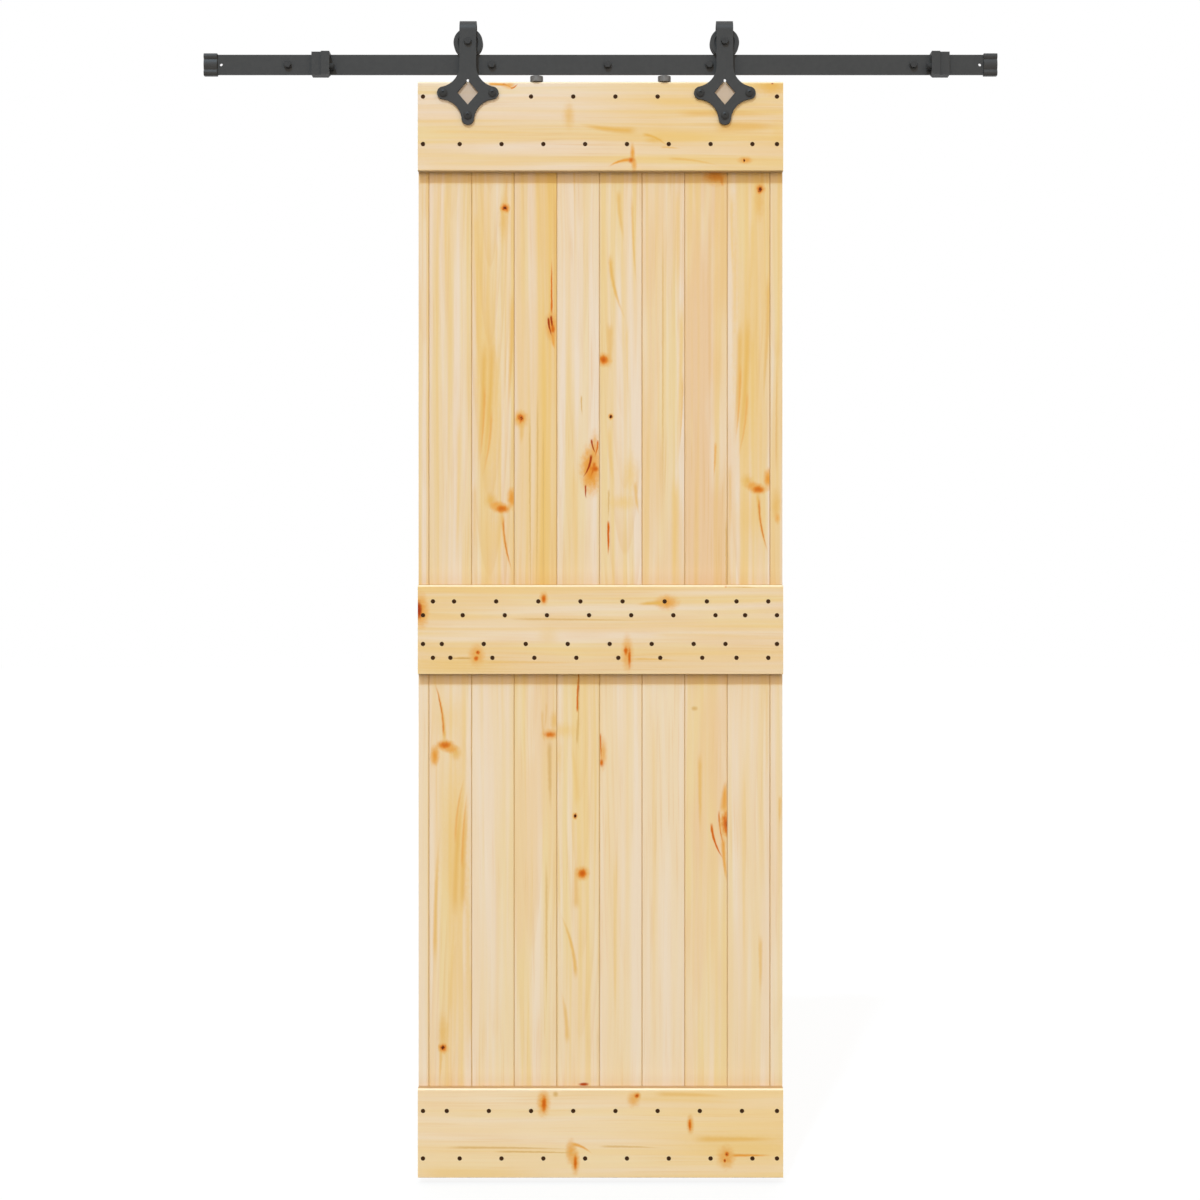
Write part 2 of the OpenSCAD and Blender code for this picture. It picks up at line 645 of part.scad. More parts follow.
module bearing_outer_ring(x) color(steel) translate([x, rail_mid, axle_z])
    bearing_ring(pitch_r + race_half, bearing_d / 2);
module bearing_balls(x) color(steel) translate([x, rail_mid, axle_z])
    for (k = [0 : ball_n - 1]) rotate([0, 360 * k / ball_n, 0])
        translate([pitch_r, 0, 0]) sphere(d = ball_d);

// Lift guards on the top edge of the leaf
module lift_disc_screw(side, play)
    translate([side * disc_x, disc_y, leaf_top + disc_h]) rotate([180, 0, 0])
        wood_screw(disc_screw_d, screw_head_d, disc_h + disc_screw_bite, play);
module lift_disc(side) color(coated) difference() {
    translate([side * disc_x, disc_y, leaf_top]) cylinder(d = disc_d, h = disc_h);
    lift_disc_screw(side, screw_play);
}
module lift_disc_screws() color(blackened) for (s = [-1, 1]) lift_disc_screw(s, 0);

rail();
rail_spacers();
rail_lag_bolts();
rail_washers();
mirror([1, 0, 0]) end_cap();  // left_end_cap
end_cap();  // right_end_cap
translate([left_stop_x, 0, 0]) stop_block();  // left_stop_block
translate([right_stop_x, 0, 0]) mirror([1, 0, 0]) stop_block();  // right_stop_block
translate([left_stop_x, 0, 0]) stop_bumper();  // left_stop_bumper
translate([right_stop_x, 0, 0]) mirror([1, 0, 0]) stop_bumper();  // right_stop_bumper
stop_grub_screws();
for (i = [0 : plank_n + 1]) {
    upper_plank(i);
    lower_plank(i);
}
top_batten();
middle_batten();
bottom_batten();
leaf_screws(top_screws);  // top_batten_screws
leaf_screws(concat(middle_high_screws, middle_low_screws));  // middle_batten_screws
leaf_screws(bottom_screws);  // bottom_batten_screws
hanger_strap(hanger_x[0]);  // left_hanger_strap
hanger_strap(hanger_x[1]);  // right_hanger_strap
hanger_door_bolts();
hanger_sleeve_nuts();
axle_bolts();
axle_washers();
axle_nuts();
axle_sleeves();
bearing_inner_ring(hanger_x[0]);  // left_bearing_inner_ring
bearing_inner_ring(hanger_x[1]);  // right_bearing_inner_ring
lift_disc(-1);  // left_lift_disc
lift_disc(1);  // right_lift_disc
lift_disc_screws();
wheel(hanger_x[0]);  // left_wheel
wheel(hanger_x[1]);  // right_wheel
bearing_outer_ring(hanger_x[0]);  // left_bearing_outer_ring
bearing_outer_ring(hanger_x[1]);  // right_bearing_outer_ring
bearing_balls(hanger_x[0]);  // left_bearing_balls
bearing_balls(hanger_x[1]);  // right_bearing_balls
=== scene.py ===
# Sliding barn door: a finish for every piece, threaded fasteners, eased steel edges and a small studio
import json
import math

import bmesh
import bpy
from mathutils import Matrix, Vector


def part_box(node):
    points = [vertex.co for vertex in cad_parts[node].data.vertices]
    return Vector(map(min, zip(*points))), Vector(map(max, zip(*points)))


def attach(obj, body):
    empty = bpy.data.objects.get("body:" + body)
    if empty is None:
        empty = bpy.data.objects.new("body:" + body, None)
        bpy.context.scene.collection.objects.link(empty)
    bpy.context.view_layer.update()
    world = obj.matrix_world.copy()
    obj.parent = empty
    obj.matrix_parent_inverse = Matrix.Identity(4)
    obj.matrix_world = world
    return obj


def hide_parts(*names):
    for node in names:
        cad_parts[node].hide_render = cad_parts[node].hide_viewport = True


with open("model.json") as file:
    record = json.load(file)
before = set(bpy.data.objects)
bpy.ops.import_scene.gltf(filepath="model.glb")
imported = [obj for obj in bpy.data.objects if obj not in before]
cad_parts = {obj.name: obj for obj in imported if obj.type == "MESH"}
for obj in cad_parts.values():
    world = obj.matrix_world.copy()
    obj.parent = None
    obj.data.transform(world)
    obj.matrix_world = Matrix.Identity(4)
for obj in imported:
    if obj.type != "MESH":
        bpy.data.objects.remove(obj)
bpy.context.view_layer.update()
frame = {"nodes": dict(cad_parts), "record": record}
nodes = frame["nodes"]
bodyOf = {name: body for body, names in frame["record"]["behaviour"]["bodies"].items() for name in names}
mm = 0.001
mergeGap = 0.01 * mm  # closer points are one
white = (1.0, 1.0, 1.0, 1.0)
leafLow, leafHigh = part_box("top_batten")
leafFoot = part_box("bottom_batten")[0].z


def tone(red, green, blue):
    # a colour as a paint chip reads it, 0 to 255, in linear values
    parts = [c / 255 for c in (red, green, blue)]
    return tuple(c / 12.92 if c < 0.04045 else ((c + 0.055) / 1.055) ** 2.4 for c in parts) + (1.0,)


class Wire:
    # one socket of a node tree: arithmetic on wires adds Math nodes
    def __init__(self, tree, socket=None):
        self.tree = tree
        self.socket = socket

    def node(self, kind, settings=None, sockets=None, out=0):
        made = self.tree.nodes.new(kind)
        for key, value in (settings or {}).items():
            setattr(made, key, value)
        for key, value in (sockets or {}).items():
            for item in value if isinstance(value, list) else [value]:
                if isinstance(item, Wire):
                    self.tree.links.new(item.socket, made.inputs[key])
                else:
                    made.inputs[key].default_value = item
        return Wire(self.tree, made.outputs[out] if made.outputs else None)

    def pick(self, out):
        return Wire(self.tree, self.socket.node.outputs[out])

    def math(self, operation, first, second):
        return self.node("ShaderNodeMath", {"operation": operation}, {0: first, 1: second})

    def __add__(self, other):
        return self.math("ADD", self, other)

    def __radd__(self, other):
        return self.math("ADD", other, self)

    def __sub__(self, other):
        return self.math("SUBTRACT", self, other)

    def __rsub__(self, other):
        return self.math("SUBTRACT", other, self)

    def __mul__(self, other):
        return self.math("MULTIPLY", self, other)

    def __rmul__(self, other):
        return self.math("MULTIPLY", other, self)

    def __truediv__(self, other):
        return self.math("DIVIDE", self, other)

    def __rtruediv__(self, other):
        return self.math("DIVIDE", other, self)

    def apply(self, operation, other=0.0):
        return self.math(operation, self, other)

    def step(self, low, high):
        return self.node("ShaderNodeMapRange", {"interpolation_type": "SMOOTHSTEP"},
                         {"Value": self, "From Min": low, "From Max": high, "To Min": 0.0, "To Max": 1.0})

    def between(self, start, full, fade, end):
        return self.step(start, full) * (1 - self.step(fade, end))

    def far(self, other):
        return (self * self + other * other).apply("SQRT")

    def split(self):
        first = self.node("ShaderNodeSeparateXYZ", None, {0: self})
        return first, first.pick(1), first.pick(2)

    def vector(self, x, y, z):
        return self.node("ShaderNodeCombineXYZ", None, {0: x, 1: y, 2: z})

    def noise(self, where, scale, detail, roughness=0.5):
        return self.node("ShaderNodeTexNoise", None,
                         {"Vector": where, "Scale": scale, "Detail": detail, "Roughness": roughness})

    def mix(self, factor, first, second):
        return self.node("ShaderNodeMix", {"data_type": "RGBA"}, {0: factor, 6: first, 7: second}, out=2)


def newMaterial(name):
    material = bpy.data.materials.new(name)
    material.use_nodes = True
    material.node_tree.nodes.clear()
    return material, Wire(material.node_tree)


def closeMaterial(wire, sockets):
    surface = wire.node("ShaderNodeBsdfPrincipled", None, sockets)
    wire.node("ShaderNodeOutputMaterial", None, {"Surface": surface})


def dress(obj, material):
    obj.data.materials.clear()
    obj.data.materials.append(material)


# Pine: its colours, its noises and bands, where each mask starts and is full, and how much of each tint shows
pine = {
    "cream": tone(236, 211, 161), "pale": tone(238, 220, 200), "peach": tone(234, 200, 160),
    "honey": tone(236, 197, 120), "gold": tone(230, 178, 82), "ring": tone(226, 178, 106),
    "fleck": tone(198, 148, 84), "amber": tone(230, 142, 36), "rust": tone(206, 88, 14),
    # end: the tone of sawn ends, and of painted shade on the battens' flat tops
    "bark": tone(150, 48, 8), "heart": tone(60, 20, 6), "end": tone(190, 146, 96),
    # painted shade above the battens, the seam tone, and a painted highlight on the battens' upper edges
    "paintedShadeAbove": tone(150, 104, 56), "seam": tone(200, 160, 104), "arrisHighlight": tone(252, 238, 208),
    # sun: the pale tone of painted light on the lower tiers; shade: painted shade in the hanger windows
    "sun": tone(255, 226, 170), "shade": tone(190, 172, 158),
    # noise through the wood: scale, stretch along the grain, detail
    "noise": {"slow": (9.0, 0.22, 2.0), "wobble": (190.0, 0.6, 2.0), "speckle": (420.0, 1.0, 1.0),
              "zone": (14.0, 0.3, 1.0)},
    # bands along the grain: scale, stretch along it, shift
    "band": {"patch": (17.0, 0.16, 0.83), "pale": (52.0, 0.02, 0.0), "honey": (46.8, 0.02, 0.67),
             "fine": (260.0, 0.02, 0.11), "fibre": (1500.0, 0.02, 0.53)},
    "bandDetail": 2.0, "bandRoughness": 0.55,
    # where a mask starts and is full; with four numbers, also where it fades and ends
    "edge": {"pale": (0.38, 0.62), "peach": (0.36, 0.6), "honey": (0.42, 0.64), "zone": (0.42, 0.64),
             "late": (0.3, 0.9, 0.9, 1.0), "fine": (0.53, 0.67), "fibre": (0.58, 0.8),
             "halo": (0.45, 1.8), "knotRust": (0.2, 1.0), "heart": (0.6, 1.3),
             "blot": (0.0, 1.5), "streak": (0.0, 1.4), "run": (-0.06, 0.16, 0.55, 1.05),
             # masks of painted light: painted shade on batten tops, painted highlight on their upper edges,
             # painted shadow below and painted shade above the battens
             "shade": (21 * mm, 24 * mm), "sawnAndShaded": (0.8, 0.95), "paintedTopShade": (0.93, 0.99),
             "arrisHighlight": (0.2, 0.4, 0.85, 0.93), "seam": (0.5, 0.6, 0.85, 0.95), "front": (-0.8, -0.4),
             "paintedShadowTint": (19 * mm, 25 * mm), "paintedShadeLine": (0.8 * mm, 2.4 * mm), "paintedShadeHaze": (0.0, 32 * mm)},
    # amounts include painted highlight, painted shadow below the battens, and painted shade above them and on
    # their tops
    "amount": {"side": 0.5, "sidePatch": 0.8, "ring": 0.15, "ringZone": 0.85, "fine": 0.07, "fineZone": 0.18,
               "fibre": 0.11, "resinFade": 0.85, "knotHoney": 0.9, "knotAmber": 0.8, "knotRust": 0.85,
               "shade": 0.8, "paintedHighlight": 0.75, "paintedShadowTint": 0.34, "paintedShadeLine": 0.3, "paintedShadeHaze": 0.14, "seam": 0.6,
               "sawnAndShaded": 0.8},
    # painted light: how far each lower tier is mixed towards the pale sun tone
    "paintedLightByTier": {"lower": 0.12, "bottom": 0.28, "middle": 0.07},
    "seedStep": 0.173, "wander": 14 * mm, "drift": 6 * mm, "ringPitch": 7.5 * mm,
    # knots push the grain aside, and the darker the knot, the wider its heart
    "knotPush": 0.75, "knotFray": 0.9, "heartLeast": 0.2, "heartGrowth": 0.42,
    # resin marks: frayed edges, and streaks that narrow towards their far end
    "blotFray": 0.6, "streakFray": 2 * mm, "streakHead": 1.15, "streakTaper": 0.7, "streakRim": 0.5 * mm,
    "resinBack": 3 * mm, "underSpread": 1.6,
    "fibreRelief": 0.6, "fineRelief": 0.25, "lateRelief": 0.15, "bump": 0.5, "grainDepth": 0.12 * mm,
    "roughness": 0.52, "roughSpread": 0.22, "sheen": 0.12,
}


# A knot: millimetres from the leaf's left edge and below its top, its radius, how long and how dark it is
def knot(right, down, radius, stretch, dark):
    return {"right": right, "down": down, "radius": radius, "stretch": stretch, "dark": dark}


# A resin streak: starts there, runs along the grain, and bends aside by its far end
def streak(right, down, length, width, bend, strength, tint="amber"):
    return {"right": right, "down": down, "length": length, "width": width, "bend": bend,
            "strength": strength, "tint": tint}


# A soft blot of colour, by its half width and half height
def blot(right, down, wide, high, strength, tint="amber"):
    return {"right": right, "down": down, "wide": wide, "high": high, "strength": strength, "tint": tint}


def shifted(items, right, down):
    return [dict(item, right=item["right"] + right, down=item["down"] + down) for item in items]


# the same marks, turned half round about a point
def turned(items, right, down):
    made = [dict(item, right=right - item["right"], down=down - item["down"]) for item in items]
    for item in made:
        if "length" in item:
            item.update(length=-item["length"], bend=-item["bend"])
    return made


# A board: how peach, honey, ringed and pale it is, where its pith lies, and a side that turns to honey
def board(seed, peach, honey, rings, pith=(0.0, 45.0), lean=0.03, side=None, pale=0.0,
          knots=(), marks=(), shades=()):
    return {"seed": seed, "peach": peach, "honey": honey, "rings": rings, "pith": pith, "lean": lean,
            "side": side, "pale": pale, "knots": knots, "marks": marks, "shades": shades}


flameKnots = [knot(166, 239, 7.6, 1.1, 0.85)]
flameMarks = [
    blot(138, 620, 26, 170, 0.55, "honey"), blot(116, 430, 6, 190, 0.6, "honey"),
    blot(164, 262, 10, 40, 0.6, "gold"), streak(168, 236, -66, 6, 3, 0.5, "gold"),
    streak(126, 500, 235, 11, -12, 0.65, "gold"), streak(141, 490, 270, 12, -19, 0.6, "gold"),
    streak(127, 580, 150, 5, -10, 0.45), streak(140, 630, 125, 5, -17, 0.4),
    streak(151, 520, 200, 8, 0, 0.45, "honey"), streak(180, 405, 250, 9, -10, 0.6, "gold"),
    streak(110, 250, 170, 8, 3, 0.6, "honey"), streak(150, 300, 180, 8, -8, 0.45, "honey"),
    blot(140, 802, 11, 13, 0.75, "gold"), blot(180, 797, 8, 18, 0.8), blot(150, 811, 12, 8, 0.75),
    blot(160, 817, 16, 9, 0.9), blot(161, 818, 9, 6, 0.75, "rust"), streak(161, 820, 124, 7, 20, 0.8, "gold"),
    streak(163, 838, 96, 3, 16, 0.6, "rust"), streak(107, 770, 150, 9, 0, 0.4, "gold"),
    blot(150, 870, 34, 40, 0.35, "honey")]
swirlKnots = [knot(370, 641, 4.0, 1.3, 1.0)]
swirlMarks = [
    streak(369, 330, 125, 8, 30, 0.8, "gold"), streak(385, 205, 100, 10, 11, 0.6, "gold"),
    streak(411, 220, 180, 5, 10, 0.55, "gold"), streak(401, 460, 180, 5, 3, 0.45, "honey"),
    streak(368, 462, 95, 13, 1, 0.6, "gold"), blot(357, 531, 12, 12, 0.8), blot(356, 531, 7, 7, 0.9, "rust"),
    streak(367, 660, 130, 10, 12, 0.5, "honey"), blot(408, 755, 14, 40, 0.6, "honey"),
    blot(394, 806, 30, 14, 0.6, "honey"), streak(417, 766, 66, 7, 8, 0.6, "gold"),
    streak(365, 842, 66, 3.6, 0, 0.95, "rust"), streak(366, 780, 60, 3, -1, 0.4, "fleck")]

boards = {
    "upper_left_strip": board(1, 0.2, 0.5, 0.15, side=(13, 3, 0.6)),
    "upper_plank_1": board(2, 0.3, 0.25, 0.12, marks=[
        streak(78, 640, 330, 10, -8, 0.45, "honey"), streak(55, 300, 420, 6, 3, 0.3, "peach"),
        streak(36, 150, 700, 9, 0, 0.4, "honey"), streak(52, 200, 260, 7, 2, 0.4, "honey")]),
    "upper_plank_2": board(3, 0.4, 0.6, 0.25, (-8, 38), 0.05, knots=flameKnots, marks=flameMarks),
    "upper_plank_3": board(4, 0.4, 0.45, 0.15, (20, 60), 0.01, side=(216, 16, 0.58), knots=[
        knot(197, 643, 8.0, 1.2, 0.8)], marks=[
        streak(214, 640, 380, 3, 2, 0.4, "fleck"), streak(229, 600, 430, 3, -3, 0.35, "fleck"),
        streak(240, 660, 360, 2.5, 0, 0.3, "fleck"), streak(262, 200, 360, 6, 0, 0.5, "ring"),
        blot(196, 645, 13.8, 15, 0.55), streak(199, 650, 46, 10, -2, 0.5, "gold"),
        streak(256, 446, -110, 3, 0, 0.7, "rust"), blot(256, 466, 11.2, 25, 0.8),
        streak(258, 478, 34, 8, 4, 0.7), streak(250, 450, 36, 3.4, 7, 0.85, "bark"),
        streak(255, 446, 34, 3.4, 7, 0.8, "bark"), blot(258, 472, 3.8, 7.5, 0.7, "rust")]),
    "upper_plank_4": board(5, 0.2, 0.25, 0.12, pale=0.2, marks=[
        streak(313, 600, 40, 2.6, 2, 0.45, "fleck"), streak(300, 740, 240, 16, 6, 0.4, "honey"),
        blot(332, 742, 18, 42, 0.95), blot(338, 706, 8.8, 32.5, 0.5),
        streak(332, 714, 44, 4, -16, 0.85, "bark"), streak(338, 728, 30, 5, -8, 0.6, "rust"),
        blot(339, 741, 7.5, 5, 0.85, "rust"), streak(333, 684, 28, 3, 8, 0.75, "bark"),
        streak(345, 686, 32, 3, -6, 0.65, "rust"), streak(321, 772, 26, 2.6, 1, 0.7, "bark")]),
    "upper_plank_5": board(6, 0.1, 0.35, 0.25, (4, 30), 0.06, knots=swirlKnots, marks=swirlMarks),
    "upper_plank_6": board(7, 0.6, 0.4, 0.15, (-26, 70), 0.0, marks=[
        streak(506, 420, 330, 12, -10, 0.75, "honey"), streak(494, 760, 250, 14, -6, 0.7, "honey"),
        streak(498, 200, 260, 10, 0, 0.5, "honey"), streak(446, 260, 500, 7, 2, 0.45, "peach"),
        streak(508, 560, 160, 5, -8, 0.6, "gold"), streak(470, 300, 560, 3, 0, 0.3, "fleck")]),
    "upper_plank_7": board(8, 1.0, 0.5, 0.15, (30, 80), 0.0, marks=[
        blot(572, 180, 26, 14, 0.6), blot(570, 178, 19, 9, 0.5, "rust"),
        streak(583, 178, 20, 7, 2, 0.4, "rust"), streak(571, 690, 70, 4, -3, 0.45),
        streak(592, 840, 180, 3, 0, 0.4, "fleck"), streak(560, 240, 500, 8, 0, 0.35, "ring")]),
    "upper_plank_8": board(9, 0.4, 0.6, 0.25, (-6, 36), 0.05, knots=shifted(flameKnots, 491, -36),
                           marks=shifted(flameMarks, 492, -37)),
    "upper_right_strip": board(10, 0.3, 0.55, 0.2, marks=[
        blot(689, 812, 8.8, 30, 0.65, "gold"), blot(691, 836, 5, 9, 0.5),
        streak(688, 740, -240, 4, 2, 0.6, "ring")]),
    "lower_left_strip": board(11, 0.1, 0.1, 0.08, side=(15, 3, 0.35), pale=0.6),
    "lower_plank_1": board(12, 0.35, 0.6, 0.25, (12, 40), -0.04, knots=turned(flameKnots, 213, 2094),
                           marks=turned(flameMarks, 211, 2090)),
    "lower_plank_2": board(13, 0.2, 0.15, 0.08, pale=0.15, marks=[
        streak(150, 1500, 420, 14, 2, 0.3, "peach")]),
    "lower_plank_3": board(14, 0.5, 0.25, 0.15, (-10, 50), 0.02, marks=[
        streak(249, 1140, 90, 12, 0, 0.4, "peach"), blot(243, 1240, 17.5, 57.5, 0.35, "peach"),
        streak(238, 1205, 70, 5, 5, 0.5, "ring"), streak(246, 1190, 60, 4, -5, 0.4, "ring"),
        blot(261, 1226, 7.5, 17.5, 0.6, "gold"), blot(254, 1252, 15, 10, 0.55),
        blot(253, 1252, 10, 5, 0.6, "rust"), streak(252, 1262, 140, 9, 2, 0.4, "fleck"),
        streak(246, 1500, 300, 4, 0, 0.3, "fleck")]),
    "lower_plank_4": board(15, 0.2, 0.35, 0.2, (0, 32), 0.05, knots=turned(swirlKnots, 671, 2050), marks=[
        *turned(swirlMarks, 671, 2050), streak(308, 1130, 160, 2.4, -1, 0.5, "fleck"),
        streak(308, 1112, 70, 2.2, 0, 0.6, "bark"), blot(318, 1925, 9, 3, 0.8, "bark")]),
    "lower_plank_5": board(16, 0.1, 0.25, 0.15, (10, 40), 0.03, pale=0.5, marks=[
        blot(355, 1287, 7, 28, 0.5), streak(350, 1250, 54, 2.4, 2, 0.6, "rust"),
        blot(352, 1307, 3.4, 7, 0.7, "rust"), streak(378, 1480, 380, 10, 0, 0.5, "honey")]),
    "lower_plank_6": board(17, 0.15, 0.1, 0.1, (26, 60), 0.02, pale=0.6, marks=[
        streak(452, 1200, 700, 10, 3, 0.3, "honey")]),
    "lower_plank_7": board(18, 0.95, 0.25, 0.12, (-30, 70), 0.0, knots=[
        knot(594, 1424, 12.0, 2.0, 0.3)], marks=[
        blot(530, 1202, 6, 4, 0.45, "fleck"), streak(564, 1424, 70, 4, 24, 0.85, "rust"),
        streak(541, 1290, 160, 8, 1, 0.65, "gold"), streak(588, 1400, -60, 14, 3, 0.65),
        streak(586, 1450, 90, 8, 8, 0.6), streak(578, 1400, 70, 3, 10, 0.6, "rust")]),
    "lower_plank_8": board(19, 0.3, 0.25, 0.12, (-20, 60), 0.01, pale=0.2, marks=[
        streak(658, 1640, 120, 8, 0, 0.55, "gold"), streak(670, 1130, 260, 8, 0, 0.5, "honey"),
        streak(626, 1300, 500, 8, 0, 0.35, "honey")]),
    "lower_right_strip": board(20, 0.4, 0.25, 0.12, pale=0.2, marks=[
        streak(695, 1370, 60, 6, 0, 0.6, "gold")]),
    "top_batten": board(21, 0.35, 0.25, 0.12, (20, 34), 0.02, side=(230, 260, 0.45), shades=[
        (96, 22.7), (588, 22.7)], knots=[
        knot(679, 4, 2.6, 1.2, 0.9), knot(625, 151, 4.8, 0.55, 0.95)], marks=[
        streak(0, 160, 300, 24, 0, 0.25, "honey"), streak(440, 40, 270, 16, 4, 0.55, "honey"),
        streak(500, 62, 210, 12, 2, 0.5, "gold"), streak(570, 86, 130, 24, 0, 0.65, "gold"),
        streak(440, 106, 150, 28, 6, 0.55, "honey"), blot(676, 10, 27.5, 17.5, 0.75, "gold"),
        blot(690, 96, 15, 27.5, 0.4, "honey"), streak(136, 4, 40, 7, 5, 0.8),
        streak(162, 5, 20, 3, 10, 0.8, "rust"), streak(178, 13, 14, 3, -9, 0.8, "rust"),
        blot(174, 7, 12, 7, 0.5), blot(289, 66, 11.2, 23.8, 0.6, "gold"),
        streak(418, 94, -112, 14, -13, 0.8, "gold"), streak(431, 102, 52, 6, 26, 0.85, "gold"),
        blot(452, 112, 16, 6, 0.5, "gold"), streak(466, 126, 40, 4, 3, 0.6, "gold"),
        streak(407, 150, -42, 6, 13, 0.8), blot(411, 139, 4.2, 18.8, 0.7),
        blot(409, 151, 6.2, 5, 0.7, "rust"), blot(414, 160, 5, 12.5, 0.5),
        streak(480, 148, 100, 5, 14, 0.55, "gold"), blot(627, 151, 13, 6, 0.7),
        streak(20, 96, 240, 6, 3, 0.35, "honey")]),
    "middle_batten": board(22, 0.6, 0.45, 0.1, (-12, 36), 0.015, side=(330, -260, 0.25), knots=[
        knot(115, 1094, 5.2, 0.9, 0.5), knot(112, 1105, 5.6, 0.9, 0.3),
        knot(590, 967, 2.2, 1.2, 0.9)], marks=[
        blot(60, 1116, 112.5, 22.5, 0.6, "honey"), blot(250, 1062, 20, 17.5, 0.4, "honey"),
        blot(6, 1014, 13.8, 30, 0.75), blot(3, 1012, 5, 15, 0.8, "bark"), blot(242, 990, 7.5, 11.2, 0.7),
        blot(242, 991, 3.8, 7.5, 0.85, "rust"), blot(113, 1099, 13.8, 18.8, 0.6),
        streak(103, 1105, -46, 3, 0, 0.7, "fleck"), blot(478, 998, 20, 13, 0.65),
        streak(470, 999, -52, 9, 3, 0.85, "gold"), blot(402, 1096, 10, 31.2, 0.55),
        blot(399, 1091, 3.5, 7.5, 0.85, "rust"), blot(406, 1104, 2.8, 17.5, 0.75, "rust"),
        streak(412, 1106, 90, 4, 4, 0.5, "gold"), streak(590, 967, 60, 3, 3, 0.55, "fleck"),
        streak(180, 1030, 260, 4, 3, 0.35, "fleck"), streak(450, 1060, 220, 9, 2, 0.4, "honey"),
        streak(120, 1112, 200, 5, 2, 0.4, "gold")]),
    "bottom_batten": board(23, 0.4, 0.25, 0.1, (16, 34), 0.015, side=(330, 240, 0.4), pale=0.25, knots=[
        knot(420, 1943, 5.6, 1.0, 0.5), knot(592, 2055, 5.4, 0.9, 0.55),
        knot(588, 2067, 5.0, 0.6, 0.55)], marks=[
        blot(630, 2040, 100, 25, 0.5, "honey"), streak(530, 2026, 170, 12, 0, 0.65, "gold"),
        streak(455, 1940, 140, 10, 4, 0.55, "gold"), streak(400, 1950, 240, 12, 8, 0.4, "honey"),
        streak(10, 2092, 240, 30, 2, 0.4, "honey"), blot(263, 1940, 5, 5, 0.5, "fleck"),
        blot(240, 1957, 11.2, 22.5, 0.75), blot(241, 1958, 4.2, 13.8, 0.85, "rust"),
        blot(412, 1950, 11.2, 13.8, 0.5), blot(522, 1998, 6.2, 16.2, 0.7),
        blot(521, 1999, 2.5, 10, 0.8, "rust"), blot(293, 2050, 8.8, 21.2, 0.6),
        blot(302, 2069, 7.5, 22.5, 0.7), blot(302, 2071, 3, 12.5, 0.75, "rust"),
        streak(294, 2036, 40, 6, 18, 0.6), blot(590, 2061, 15, 20, 0.65), streak(598, 2057, 80, 5, 0, 0.8),
        streak(60, 2042, 240, 4, 3, 0.4, "fleck"), streak(150, 2050, 170, 3, 3, 0.45, "fleck"),
        streak(350, 2040, 120, 4, 3, 0.35, "fleck")]),
}

# a strong colour fades through a weaker one at its rim
underTint = {"amber": "honey", "rust": "amber", "bark": "rust", "fleck": "honey"}


